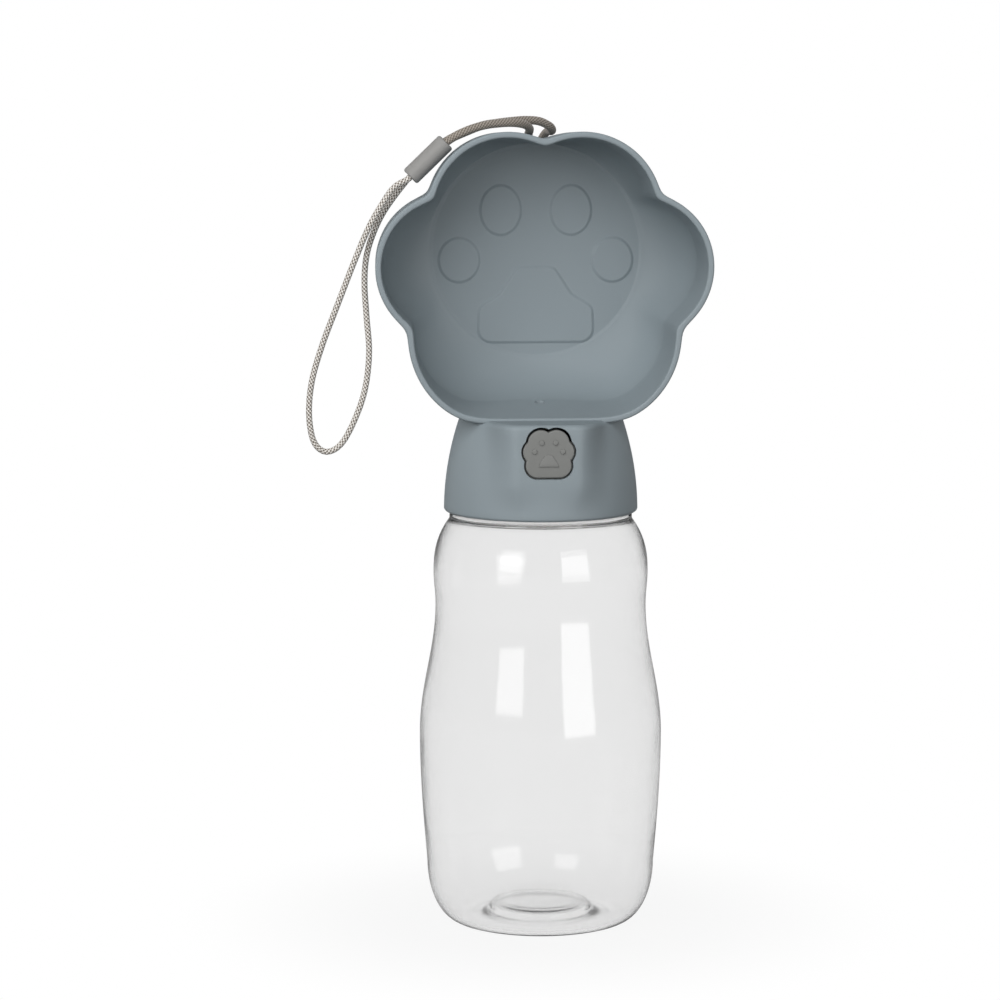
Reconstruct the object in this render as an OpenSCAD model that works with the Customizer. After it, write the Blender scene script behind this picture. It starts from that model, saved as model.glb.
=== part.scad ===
// Travel water bottle for dogs. A clear bottle carries a screw-on head whose collar grows into
// an upright paw-shaped bowl. A sprung push button in the collar opens a valve, which lets water
// out of the bottle into the bowl, and a lanyard hangs from an eyelet behind the bowl.
// Millimetres. +Z is up, the origin is the middle of the bottle's base, and the bowl faces -Y.

/* [Bottle] */
// Height of the shoulder's flat top, where the neck starts
shoulder_h = 137.6; // [132:0.2:150]
// Radius of the shoulder's flat top
shoulder_r = 30.4; // [29:0.1:32]
// Radius of the upper bulge
bulge_r = 35.7; // [34:0.1:39]
// Height of the upper bulge over the waist
bulge_rise = 10.7; // [8:0.1:14]
// Height of the waist
waist_h = 107.3; // [96:0.5:110]
// Radius of the waist
waist_r = 35.05; // [31:0.1:38]
// Height of the belly
belly_h = 63.8; // [50:0.5:80]
// Radius of the belly
belly_r = 40.4; // [37:0.1:45]
// Height of the heel, above which the side wall starts
heel_h = 20; // [12:0.5:26]
// Radius of the side wall at the heel
heel_r = 38; // [34:0.1:40]
// Outside radius of the ring that the bottle stands on
foot_r = 27.5; // [24:0.5:32]
// Radius of the push-up in the base
pushup_r = 17; // [10:0.5:20]
// Height of the push-up in the base
pushup_h = 3.4; // [2:0.2:6]
// Wall of the bottle
bottle_wall = 1.4; // [1:0.1:2.4]
// Height of the neck above the shoulder
neck_h = 9.7; // [8:0.1:12]
// Outside radius of the neck
neck_r = 24.6; // [22:0.1:25.4]
// Wall of the neck
neck_wall = 2; // [1.4:0.1:3]

/* [Collar] */
// Height of the collar
collar_h = 31.8; // [31:0.2:36]
// Outside radius at the collar's lower edge
collar_r = 32.2; // [31.6:0.1:36]
// How much smaller the collar's radius is at the top
collar_taper = 5.4; // [3:0.1:7]
// Wall of the collar
collar_wall = 2.2; // [1.6:0.1:2.6]
// Rounding of the collar's lower edge
collar_round = 1.2; // [0.6:0.1:2]
// Distance of the flat front panel from the bottle's axis
panel_y = 32.3; // [31.5:0.1:33]
// Width of the flat front panel
panel_w = 22.4; // [21.6:0.2:26]
// Space between the collar and the bottle's shoulder when it is screwed down
collar_gap = 0.7; // [0.4:0.1:2]

/* [Bowl] */
// Sideways place of the side lobes' centres
side_lobe_x = 31; // [28:0.2:34]
// Height of the side lobes' centres over the bowl's centre
side_lobe_z = -3; // [-6:0.2:0]
// Radius of the side lobes
side_lobe_r = 24.4; // [22:0.2:27]
// Sideways place of the top lobes' centres
top_lobe_x = 12.1; // [10:0.1:14]
// Height of the top lobes' centres over the bowl's centre
top_lobe_z = 14.7; // [12:0.1:17]
// Radius of the top lobes
top_lobe_r = 26.4; // [25:0.1:29]
// Sideways place of the lower corners' centres
low_lobe_x = 14.4; // [12:0.1:17]
// Height of the lower corners' centres under the bowl's centre
low_lobe_z = -25.3; // [-27:0.1:-23]
// Radius of the lower corners
low_lobe_r = 30.4; // [28:0.1:33]
// Distance from the bowl's centre down to its flat lower edge
flat_drop = 54.7; // [53:0.1:55.6]
// How far the flat lower edge sinks into the collar's top
flat_sink = 1.7; // [1.2:0.1:2]
// Wall of the bowl
bowl_wall = 2; // [1.5:0.1:2.6]
// Distance of the rim's plane in front of the bottle's axis
rim_y = 18; // [17:0.5:20]
// Depth from the rim to the bowl's floor
bowl_depth = 40; // [36:0.5:44]
// Depth of the straight wall behind the rim
straight_depth = 24; // [20:0.5:26]
// How far the straight wall leans in
wall_draft = 0.9; // [0.4:0.1:1.6]
// How far the lower wall rises towards the floor, so that it drains
shelf_rise = 2.6; // [1:0.1:3.5]
// Radius of the round floor
floor_r = 35.9; // [34:0.1:37]
// Radius of the edge at the back of the bowl
back_round = 1.4; // [0.8:0.1:2]

/* [Paw in the floor] */
// Height of the raised pads
pad_h = 0.9; // [0.5:0.1:1.4]
// Half width and half height of the two inner toes
inner_toe = [6.9, 8.4];
// Centre of the right inner toe, from the bowl's centre
inner_toe_at = [11.8, 13.7];
// Half width and half height of the two outer toes
outer_toe = [6.9, 7.5];
// Centre of the right outer toe, from the bowl's centre
outer_toe_at = [25.8, -3];
// Width of the large pad
pad_w = 39; // [34:0.5:42]
// Width of the large pad's top
pad_top_w = 12; // [8:0.5:18]
// Height of the large pad
pad_tall = 25.8; // [20:0.2:28]
// Distance from the bowl's centre down to the large pad's top
pad_drop = 5; // [3:0.5:8]

/* [Button and valve] */
// Height of the button's centre over the collar's lower edge
button_h = 22.5; // [22:0.1:23.5]
// Gap around the button
button_gap = 0.45; // [0.3:0.05:0.7]
// How far the button is pressed in
button_travel = 3; // [2:0.1:3.4]
// How far the button's face lies behind the panel
button_recess = 0.4; // [0.1:0.1:0.8]
// Thickness of the button's plate with its ears
button_plate = 3.3; // [3:0.1:3.8]
// Radius of the valve stem
stem_r = 2; // [1.5:0.1:2.4]
// Radial running clearance of the stem
stem_fit = 0.06; // [0.03:0.01:0.1]
// Outside radius of the valve's chamber
chamber_r = 7.2; // [6.6:0.1:7.4]
// Wall of the valve's chamber
chamber_wall = 1.6; // [1.2:0.1:2]
// Place of the valve seat behind the bottle's axis
seat_y = 8; // [6:0.5:10]
// Radius of the bore through the valve seat
seat_r = 3.2; // [2.8:0.1:3.6]
// Radius of the water way into the valve
inlet_r = 3; // [2:0.1:3.6]
// Radius of the water way up into the bowl
outlet_r = 1.7; // [1.2:0.1:2]
// Place of the outlet behind the bottle's axis
outlet_y = 3.4; // [0:0.2:4]
// Thickness of the spring's wire
wire_d = 0.7; // [0.5:0.05:0.9]
// Middle radius of the spring's turns
spring_r = 4.6; // [4.3:0.1:5]
// Turns of the spring
spring_turns = 7; // [5:1:8]

/* [Threaded insert] */
// Thickness of the deck that closes the bottle
deck_t = 2; // [1.5:0.1:2.4]
// Outside radius of the insert
insert_r = 28.7; // [28:0.1:29]
// Inside radius of the insert's skirt
skirt_bore = 26.6; // [26:0.1:27.4]
// Thickness of the neck gasket
gasket_t = 1.3; // [1:0.1:1.6]

/* [Lanyard] */
// Thickness of the strap's cord
strap_d = 2.8; // [2.2:0.1:3]
// Thickness of the wrist loop's cord
loop_d = 2; // [1.5:0.1:2.4]
// Length of the sleeve
sleeve_l = 16.4; // [14:0.2:20]
// Thickness of the sleeve
sleeve_t = 6.2; // [6:0.1:7]
// Radius of the eyelet's bar
eyelet_r = 1.5; // [1.2:0.1:1.8]
// Width between the eyelet's ears
eyelet_w = 13; // [12:0.5:16]

/* [Hidden] */
$fn = 64;
SLIP = 0.05;          // clearance between parts that are pressed or seated together
OVER = 1;             // how far a cutter runs past the face that it opens

// Colours
CLEAR = [0.86, 0.90, 0.92, 0.35];
GREY_BLUE = [0.52, 0.56, 0.59];
WARM_GREY = [0.55, 0.55, 0.53];
NATURAL = [0.88, 0.87, 0.83];
SILICONE = [0.80, 0.82, 0.82];
BLACK_RUBBER = [0.12, 0.12, 0.13];
STEEL = [0.72, 0.73, 0.75];
STRAP_BROWN = [0.56, 0.53, 0.49];
CORD_GREY = [0.62, 0.61, 0.58];

// Heights
bulge_h = waist_h + bulge_rise;
neck_top = shoulder_h + neck_h;
collar_z = shoulder_h + collar_gap;
collar_top = collar_z + collar_h;
bowl_z = collar_top - flat_sink + flat_drop;
deck_z = neck_top + gasket_t + 2 * SLIP;
deck_top = deck_z + deck_t;
valve_z = collar_z + button_h;

// Depths, along Y
floor_y = bowl_depth - rim_y;
wall_end_y = straight_depth - rim_y;
back_y = floor_y + collar_wall;
panel_back_y = -panel_y + collar_wall;
button_face_y = -panel_y + button_recess;
button_back_y = button_face_y + button_plate;

// ---------- shared geometry ----------

function unit(v) = v / norm(v);

// Soft maximum and minimum of positive lengths. The higher p is, the tighter the rounding.
function soft_max(lengths, p) = pow([for (v = lengths) pow(v, p)] * [for (v = lengths) 1], 1 / p);
function soft_min(lengths, p) = soft_max(lengths, -p);

// Solid through a row of rings that all have the same number of points. The points run
// right-handed about the direction in which the rings follow each other.
module loft(rings) {
    n = len(rings[0]);
    last = len(rings) - 1;
    middle = function (ring) [for (i = [0:2]) [for (p = ring) p[i]] * [for (p = ring) 1] / n];
    points = concat([for (ring = rings) each ring], [middle(rings[0]), middle(rings[last])]);
    start = n * (last + 1);
    sides = [for (k = [0:last - 1]) for (i = [0:n - 1])
        let (a = k * n + i, b = k * n + (i + 1) % n)
        each [[a, a + n, b + n], [a, b + n, b]]];
    caps = [for (i = [0:n - 1]) let (j = (i + 1) % n)
        each [[start, i, j], [start + 1, last * n + j, last * n + i]]];
    polyhedron(points = points, faces = concat(sides, caps));
}

// Smooth curve through hand-set points, with some steps between each pair
function curve(pts, steps) = concat(
    [for (i = [0:len(pts) - 2], s = [0:steps - 1])
        let (
            t = s / steps,
            p0 = pts[max(i - 1, 0)],
            p1 = pts[i],
            p2 = pts[i + 1],
            p3 = pts[min(i + 2, len(pts) - 1)]
        )
        0.5 * (2 * p1 + (p2 - p0) * t + (2 * p0 - 5 * p1 + 4 * p2 - p3) * t * t
            + (3 * p1 - 3 * p2 + p3 - p0) * t * t * t)],
    [pts[len(pts) - 1]]
);

// Directions along a path, and normals that turn as little as they can from ring to ring
function tangents(path) = [for (i = [0:len(path) - 1])
    unit(path[min(i + 1, len(path) - 1)] - path[max(i - 1, 0)])];
function turned(normal, tangent) = unit(normal - (normal * tangent) * tangent);
function normals(dirs, normal, i = 0) = i == len(dirs) ? []
    : let (n = turned(normal, dirs[i])) concat([n], normals(dirs, n, i + 1));

// Round tube along a path
module tube(path, d, sides) {
    dirs = tangents(path);
    ups = normals(dirs, [0.1, 1, 0.2]);
    loft([for (i = [0:len(path) - 1])
        let (u = ups[i], v = cross(dirs[i], u))
        [for (k = [0:sides - 1]) path[i] + d / 2 * (cos(360 * k / sides) * u + sin(360 * k / sides) * v)]]);
}

// Cylinder that lies along Y, from one depth to another
module along_y(r, from, to, z = valve_z) {
    translate([0, from, z]) rotate([-90, 0, 0]) cylinder(r = r, h = to - from);
}

// Ring with a round section that lies about the valve's axis
module o_ring(inner, section_r, y) {
    translate([0, y, valve_z]) rotate([-90, 0, 0])
        rotate_extrude() translate([inner + section_r, 0]) circle(r = section_r, $fn = 32);
}

// ---------- bottle ----------

// Outer radius of the bottle's side at a height above the heel
function ease(t) = (1 - cos(180 * t)) / 2;
function side_r(z) =
    z < belly_h ? heel_r + (belly_r - heel_r) * sin(90 * (z - heel_h) / (belly_h - heel_h)) :
    z < waist_h ? belly_r + (waist_r - belly_r) * ease((z - belly_h) / (waist_h - belly_h)) :
    z < bulge_h ? waist_r + (bulge_r - waist_r) * ease((z - waist_h) / (bulge_h - waist_h)) :
    shoulder_r + (bulge_r - shoulder_r) * (1 - pow((z - bulge_h) / (shoulder_top - bulge_h), 2.5));

shoulder_ring = 2.4;                        // height of the upright edge under the shoulder's top
shoulder_top = shoulder_h - shoulder_ring;
function steps_between(a, b, n) = [for (i = [0:n]) a + (b - a) * i / n];

// Half section of the outside, shrunk by a wall where it is the inside
function heel_curve(wall) = [for (a = [0:15:75])
    [foot_r + (heel_r - foot_r) * sin(a) - wall * sin(a), heel_h - (heel_h - wall) * cos(a)]];
function side_curve(wall) = [for (z = concat(
        steps_between(heel_h, belly_h, 8),
        steps_between(belly_h, waist_h, 9),
        steps_between(waist_h, bulge_h, 3),
        steps_between(bulge_h, shoulder_top, 8)))
    [side_r(z) - wall, z]];
function without_repeats(pts) = [for (i = [0:len(pts) - 1]) if (i == 0 || norm(pts[i] - pts[i - 1]) > 0.01) pts[i]];

module bottle() {
    outside = without_repeats(concat(
        [[pushup_r - 3, pushup_h], [pushup_r, pushup_h - 0.6], [foot_r - 5, 0]],
        heel_curve(0), side_curve(0),
        [[shoulder_r, shoulder_h], [neck_r, shoulder_h], [neck_r, neck_top]]));
    inside = without_repeats(concat(
        [[0, pushup_h + bottle_wall], [pushup_r - 3, pushup_h + bottle_wall],
            [pushup_r + 0.6, pushup_h + bottle_wall - 0.6], [foot_r - 4.2, bottle_wall]],
        heel_curve(bottle_wall), side_curve(bottle_wall),
        [[neck_r - neck_wall, shoulder_h - bottle_wall], [neck_r - neck_wall, neck_top]]));
    color(CLEAR) rotate_extrude() polygon(concat(
        [[0, pushup_h]], outside, [for (i = [len(inside) - 1:-1:0]) inside[i]]));
}

module neck_gasket() {
    color(SILICONE) translate([0, 0, neck_top + SLIP]) difference() {
        cylinder(r = skirt_bore - 0.3, h = gasket_t);
        translate([0, 0, -OVER]) cylinder(r = neck_r - neck_wall - 2, h = gasket_t + 2 * OVER);
    }
}

// ---------- bowl ----------

BOWL_POINTS = 120;

// Distance from the bowl's centre to a circle's far side, or to a level line, in a direction
function to_circle(dir, centre, r) =
    let (along = dir * centre, q = r * r - centre * centre + along * along)
    q < 0 || along + sqrt(q) < 0 ? 0 : along + sqrt(q);
function to_line(dir, drop, half_w) =
    dir[1] > -0.05 || abs(dir[0] / dir[1]) * drop > half_w ? 0 : -drop / dir[1];

// The paw outline: two side lobes, two top lobes and a lower lobe with a flat edge.
// grow moves it outwards, or inwards where it is negative.
function paw_r(dir, grow) =
    let (
        side = max([for (s = [-1, 1]) to_circle(dir, [s * side_lobe_x, side_lobe_z], side_lobe_r + grow)]),
        tops = [for (s = [-1, 1]) to_circle(dir, [s * top_lobe_x, top_lobe_z], top_lobe_r + grow)],
        lows = [for (s = [-1, 1]) to_circle(dir, [s * low_lobe_x, low_lobe_z], low_lobe_r + grow)],
        low = max(concat(lows, to_line(dir, low_lobe_r + grow - low_lobe_z, low_lobe_x))),
        flat = dir[1] > -0.2 ? 1000 : (flat_drop + grow) / -dir[1]
    )
    soft_max([side, soft_min([low, flat], 40), soft_max(tops, 36)], 36);

function turn_dir(i, n) = [sin(360 * i / n), cos(360 * i / n)];

// One ring of the bowl: the paw outline, drawn towards a circle by a share, at a depth
function bowl_ring(y, grow, lean, share, round_r) = [for (i = [0:BOWL_POINTS - 1])
    let (
        dir = turn_dir(i, BOWL_POINTS),
        down = max(0, -dir[1]),
        wall_r = paw_r(dir, grow) - lean * (wall_draft + shelf_rise * down * down * down),
        r = wall_r + (round_r - wall_r) * share
    )
    [r * dir[0], y, bowl_z + r * dir[1]]];

// The wall turns into the floor on a part of an ellipse, with a soft crease at each of its ends
FLOOR_TURN = [12, 78];
function turn_depth(a) = (sin(a) - sin(FLOOR_TURN[0])) / (sin(FLOOR_TURN[1]) - sin(FLOOR_TURN[0]));
function turn_share(a) = (cos(FLOOR_TURN[0]) - cos(a)) / (cos(FLOOR_TURN[0]) - cos(FLOOR_TURN[1]));
function fillet_rings(end_y, grow, round_r) = [for (a = [FLOOR_TURN[0]:11:FLOOR_TURN[1]])
    bowl_ring(wall_end_y + (end_y - wall_end_y) * turn_depth(a), grow, 1, turn_share(a), round_r)];

LIP = 0.7;            // rounding of the rim
back_r = floor_r + 1.2;

module bowl_outside() {
    loft(concat(
        [bowl_ring(-rim_y, -LIP, 0, 0, 0), bowl_ring(-rim_y + 0.3 * LIP, -0.3 * LIP, 0, 0, 0),
            bowl_ring(-rim_y + LIP, 0, 0, 0, 0)],
        fillet_rings(back_y - back_round, 0, back_r),
        [bowl_ring(back_y - 0.3 * back_round, 0, 1, 1, back_r - 0.3 * back_round),
            bowl_ring(back_y, 0, 1, 1, back_r - back_round)]));
}

module bowl_inside() {
    loft(concat(
        [bowl_ring(-rim_y - OVER, LIP - bowl_wall, 0, 0, 0), bowl_ring(-rim_y, LIP - bowl_wall, 0, 0, 0),
            bowl_ring(-rim_y + 0.3 * LIP, 0.3 * LIP - bowl_wall, 0, 0, 0),
            bowl_ring(-rim_y + LIP, -bowl_wall, 0, 0, 0)],
        fillet_rings(floor_y, -bowl_wall, floor_r)));
}

// The pads rise in three tiers, which soften their edges: how far each lies in, and its height
TIERS = [[0, 0.4 * pad_h], [0.4, 0.8 * pad_h], [1.4, pad_h]];

// A raised pad on the floor through some circles, given as x, z and radius from the bowl's centre
module raised(circles) {
    translate([0, floor_y + OVER, bowl_z]) rotate([90, 0, 0]) hull()
        for (tier = TIERS, c = circles) translate([c[0], c[1], 0])
            cylinder(r = c[2] - tier[0], h = OVER + tier[1], $fn = 24);
}

// An oval pad
module raised_oval(at, half) {
    translate([at[0], floor_y + OVER, bowl_z + at[1]]) rotate([90, 0, 0]) hull()
        for (tier = TIERS) scale([half[0] - tier[0], half[1] - tier[0], 1])
            cylinder(r = 1, h = OVER + tier[1], $fn = 32);
}

module paw_relief() {
    top_z = -pad_drop;
    low_z = top_z - pad_tall;
    side_x = pad_w / 2;
    top_x = pad_top_w / 2;
    for (s = [-1, 1]) {
        raised_oval([s * inner_toe_at[0], inner_toe_at[1]], inner_toe);
        raised_oval([s * outer_toe_at[0], outer_toe_at[1]], outer_toe);
    }
    // the large pad: a broad lower part with sloping shoulders, and a narrower upper part
    raised([for (s = [-1, 1]) each [
        [s * (side_x - 4.5), low_z + 4.5, 4.5],
        [s * (side_x - 3.5), low_z + 0.38 * pad_tall, 3.5],
        [s * (side_x - 11), low_z + 0.58 * pad_tall, 1.8]
    ]]);
    raised([for (s = [-1, 1]) each [
        [s * (top_x - 3), top_z - 3, 3],
        [s * (side_x - 10.5), low_z + 0.58 * pad_tall, 2]
    ]]);
}

// ---------- collar ----------

COLLAR_POINTS = 72;
FAIRING_POINTS = 48;

function collar_rad(z) = collar_r - collar_taper * pow((z - collar_z) / collar_h, 2);
// The panel grows out of the collar: low down its corners are cut back to the collar's own curve
function corner_rad(z) = collar_r - 1.5 + 3.9 * ease(min(max((z - collar_z - 1.7) / 18, 0), 1));

// One ring of the collar: a circle with the flat panel standing out of it at the front
function collar_ring(z, inset) = [for (i = [0:COLLAR_POINTS - 1])
    let (
        dir = [cos(360 * i / COLLAR_POINTS), sin(360 * i / COLLAR_POINTS)],
        front = max(-dir[1], 0.01),
        side = max(abs(dir[0]), 0.01),
        panel = -dir[1] < 0.3 ? 0.1
            : soft_min([(panel_y - inset) / front, (panel_w / 2 - inset) / side, corner_rad(z) - inset], 60),
        r = soft_max([collar_rad(z) - inset, panel], 70)
    )
    [r * dir[0], r * dir[1], z]];

module collar_outside() {
    edge = collar_round;
    brow = 0.5;
    loft(concat(
        [collar_ring(collar_z, edge), collar_ring(collar_z + 0.3 * edge, 0.3 * edge)],
        [for (z = steps_between(collar_z + edge, collar_top - brow, 8)) collar_ring(z, 0)],
        [collar_ring(collar_top - 0.3 * brow, 0.3 * brow), collar_ring(collar_top, brow)]));
}

module collar_inside() {
    loft([for (z = concat([collar_z - OVER], steps_between(collar_z, collar_top - collar_wall, 4)))
        collar_ring(z, collar_wall)]);
}

// The collar flows up behind the bowl in a dome, which joins the bowl's back
FAIRING_FRONT = -15;
FAIRING_H = 15;
fairing_low = collar_top - 6;
function fairing_ring(t, inset) =
    let (
        z = fairing_low + (FAIRING_H + 6 - inset) * sin(90 * t),
        rear = collar_rad(z) - inset - 0.15,
        front = FAIRING_FRONT + inset + 14 * t * t,
        b = (rear - front) / 2,
        a = sqrt(rear * b) * cos(86 * t)
    )
    [for (i = [0:FAIRING_POINTS - 1])
        [a * cos(360 * i / FAIRING_POINTS), (rear + front) / 2 + b * sin(360 * i / FAIRING_POINTS), z]];
module fairing(inset) {
    loft([for (t = [0:0.125:1]) fairing_ring(t, inset)]);
}

// Ring inside the collar that the threaded insert seats against, open where the button moves
module insert_ledge() {
    ledge_w = 2.4;
    intersection() {
        difference() {
            translate([0, 0, deck_top + 2 * SLIP]) cylinder(r = collar_r, h = 1.8);
            cylinder(r = insert_r - ledge_w, h = 2 * collar_top);
            translate([-panel_w / 2 + 1, -2 * collar_r, 0]) cube([panel_w - 2, 2 * collar_r, 2 * collar_top]);
        }
        collar_outside();
    }
}

// ---------- button outline ----------

BUTTON_SIDE = [4.4, 0.6, 4.5];      // x, z and radius of the side lobes
BUTTON_TOP = [2.4, 3.6, 5];         // of the top lobes
BUTTON_LOW = [4, -3.9, 4.5];        // of the lower corners

// Small paw outline about the button's centre, standing in the XZ plane, cut along Y
module button_outline(grow, from, to) {
    translate([0, from, valve_z]) rotate([-90, 0, 0]) linear_extrude(to - from) mirror([0, 1]) {
        for (s = [-1, 1], lobe = [BUTTON_SIDE, BUTTON_TOP, BUTTON_LOW])
            translate([s * lobe[0], lobe[1]]) circle(r = lobe[2] + grow);
        translate([-BUTTON_LOW[0], BUTTON_LOW[1] - BUTTON_LOW[2] - grow])
            square([2 * BUTTON_LOW[0], 2 * BUTTON_LOW[2] + grow]);
    }
}

EAR = 0.9;            // how far the button's ears reach behind the panel
EAR_TOP = 4;          // the ears end this far over the button's centre
module ear_limit(z_over) {
    reach = BUTTON_SIDE[0] + BUTTON_SIDE[2] + 4;
    translate([-reach, -panel_y, valve_z - reach]) cube([2 * reach, 2 * reach, reach + z_over]);
}

// ---------- head ----------

eyelet_y = back_y + eyelet_r + strap_d + 0.7;
eyelet_z = bowl_z + 33.5;
boss_z = valve_z + chamber_r + 2;
boss_h = 3 * bowl_wall;             // the boss over the valve's spout ends inside the bowl's fairing

module eyelet() {
    ear_t = 2.8;
    for (s = [-1, 1]) hull() {
        translate([s * (eyelet_w + ear_t) / 2, eyelet_y, eyelet_z]) rotate([0, 90, 0])
            cylinder(r = eyelet_r + 1.1, h = ear_t, center = true, $fn = 32);
        translate([s * (eyelet_w + ear_t) / 2 - ear_t / 2, back_y - 0.5, eyelet_z - 6.5]) cube([ear_t, 0.5, 9]);
    }
    translate([0, eyelet_y, eyelet_z]) rotate([0, 90, 0])
        cylinder(r = eyelet_r, h = eyelet_w + ear_t, center = true, $fn = 32);
}

module outlet_boss() {
    translate([0, outlet_y, boss_z]) cylinder(r = spout_r + 3, h = boss_h);
}

// The button's hole, with room behind the panel for its ears
module button_way() {
    room = 0.4;
    depth = button_plate + button_travel + 1.5;
    button_outline(0, -panel_y - OVER, panel_back_y + depth);
    intersection() {
        hull() button_outline(room + EAR, panel_back_y, panel_back_y + depth);
        ear_limit(EAR_TOP + room);
    }
}

module head_shell() {
    color(GREY_BLUE) difference() {
        union() {
            difference() {
                union() {
                    collar_outside();
                    fairing(0);
                }
                difference() {
                    collar_inside();
                    insert_ledge();
                }
                fairing(collar_wall);
            }
            bowl_outside();
            intersection() {
                outlet_boss();
                translate([0, 0, boss_z - OVER]) cylinder(r = collar_rad(collar_top), h = 20);
            }
            eyelet();
        }
        difference() {
            bowl_inside();
            paw_relief();
        }
        button_way();
        translate([0, outlet_y, boss_z - OVER]) cylinder(r = spout_r + 0.15, h = spout_top + 0.15 - boss_z + OVER, $fn = 32);
        translate([0, outlet_y, boss_z - OVER]) cylinder(r = outlet_r, h = 2 * boss_h, $fn = 32);
    }
}

// ---------- threaded insert ----------

SCREW_AT = [11, 5];   // place of the right valve screw
BOSS_H = 3.3;         // height of the screw bosses on the deck
inlet_y = seat_y + 4.4;

module inner_cap() {
    skirt_z = collar_z + 1.4;
    color(NATURAL) difference() {
        union() {
            difference() {
                translate([0, 0, skirt_z]) cylinder(r = insert_r, h = deck_top - skirt_z);
                translate([0, 0, skirt_z - OVER]) cylinder(r = skirt_bore, h = deck_z - skirt_z + OVER);
            }
            for (s = [-1, 1])
                translate([s * SCREW_AT[0], SCREW_AT[1], deck_z + deck_t / 2]) cylinder(r = LUG_R, h = BOSS_H + deck_t / 2);
        }
        translate([0, inlet_y, deck_z - OVER]) cylinder(r = inlet_r, h = deck_t + 2 * OVER);
        for (s = [-1, 1])
            translate([s * SCREW_AT[0], SCREW_AT[1], deck_top + 0.2]) cylinder(r = SCREW_R + SLIP, h = BOSS_H + OVER);
    }
}

// ---------- valve ----------

SCREW_R = 1.2;
SCREW_HEAD_R = 2.5;
SCREW_HEAD_H = 1.5;
LUG_T = 2;
LUG_R = 3;
SADDLE_W = 9;                       // width of the saddle under the chamber
SPOUT_PAD_R = 5.2;                  // pad round the spout, which carries the outlet seal
gland_y = seat_y - 23;              // front face of the valve body
gland_r = 5.8;                      // outside of the gland's neck
GLAND_BORE = 4;
gland_end_y = gland_y + 4.6;        // bottom of the gland's pocket
chamber_y = gland_end_y + 4.4;      // front end of the outlet chamber
seat_t = 2;                         // thickness of the seat's wall
inlet_end_y = seat_y + 9;           // rear end of the inlet chamber
socket_end_y = inlet_end_y + 2.5;   // rear face of the valve body
spout_r = outlet_r + 0.9;
spout_top = collar_top + 2;         // under the lip that is left round the hole in the bowl
LUG_Z = deck_top + BOSS_H + SLIP;

module valve_body() {
    bore_r = chamber_r - chamber_wall;
    color(NATURAL) difference() {
        union() {
            along_y(gland_r, gland_y, chamber_y);
            along_y(chamber_r, chamber_y - 1, socket_end_y);
            // saddle under the chamber, with the inlet through it
            translate([-SADDLE_W / 2, chamber_y, deck_top + SLIP])
                cube([SADDLE_W, inlet_end_y - chamber_y, valve_z - deck_top - 3]);
            // two lugs for the screws
            translate([-SCREW_AT[0], SCREW_AT[1] - LUG_R, LUG_Z]) cube([2 * SCREW_AT[0], 2 * LUG_R, LUG_T]);
            for (s = [-1, 1]) translate([s * SCREW_AT[0], SCREW_AT[1], LUG_Z]) cylinder(r = LUG_R, h = LUG_T);
            // pad for the outlet seal, and the spout
            translate([0, outlet_y, valve_z]) cylinder(r = SPOUT_PAD_R, h = chamber_r);
            translate([0, outlet_y, valve_z]) cylinder(r = spout_r, h = spout_top - valve_z);
        }
        along_y(GLAND_BORE, gland_y - OVER, gland_end_y);
        along_y(stem_r + stem_fit, gland_end_y - OVER, chamber_y + OVER);
        along_y(bore_r - 1.2, chamber_y, seat_y - seat_t);
        along_y(seat_r, seat_y - seat_t - OVER, seat_y + OVER);
        along_y(bore_r, seat_y, inlet_end_y);
        along_y(bore_r + 0.3, inlet_end_y - SLIP, socket_end_y + OVER);
        translate([0, outlet_y, valve_z]) cylinder(r = outlet_r, h = spout_top - valve_z + OVER);
        translate([0, inlet_y, deck_top - OVER]) cylinder(r = inlet_r, h = valve_z - deck_top + OVER);
        for (s = [-1, 1]) translate([s * SCREW_AT[0], SCREW_AT[1], LUG_Z - OVER])
            cylinder(r = SCREW_R + 0.2, h = LUG_T + 2 * OVER);
    }
}

module valve_screws() {
    color(STEEL) for (s = [-1, 1]) translate([s * SCREW_AT[0], SCREW_AT[1], LUG_Z + LUG_T + SLIP]) {
        cylinder(r1 = SCREW_HEAD_R, r2 = SCREW_HEAD_R - 0.6, h = SCREW_HEAD_H);
        translate([0, 0, -LUG_T - BOSS_H + 0.4]) cylinder(r = SCREW_R, h = LUG_T + BOSS_H);
    }
}

module outlet_seal() {
    color(SILICONE) translate([0, outlet_y, valve_z + chamber_r + SLIP]) difference() {
        cylinder(r = SPOUT_PAD_R, h = boss_z - valve_z - chamber_r - 2 * SLIP);
        translate([0, 0, -OVER]) cylinder(r = spout_r + SLIP, h = boss_h);
    }
}

module stem_o_ring() {
    color(BLACK_RUBBER) o_ring(stem_r + SLIP, (GLAND_BORE - stem_r - 2 * SLIP) / 2, gland_end_y - 1.1);
}

module gland_bush() {
    color(NATURAL) difference() {
        union() {
            along_y(GLAND_BORE - SLIP, gland_y, gland_end_y - 2.2);
            along_y(gland_r - 0.2, gland_y - 1, gland_y - SLIP);
            along_y(GLAND_BORE - SLIP, gland_y - 0.5, gland_y + 0.5);
        }
        along_y(stem_r + stem_fit, gland_y - 2, gland_end_y);
    }
}

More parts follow.
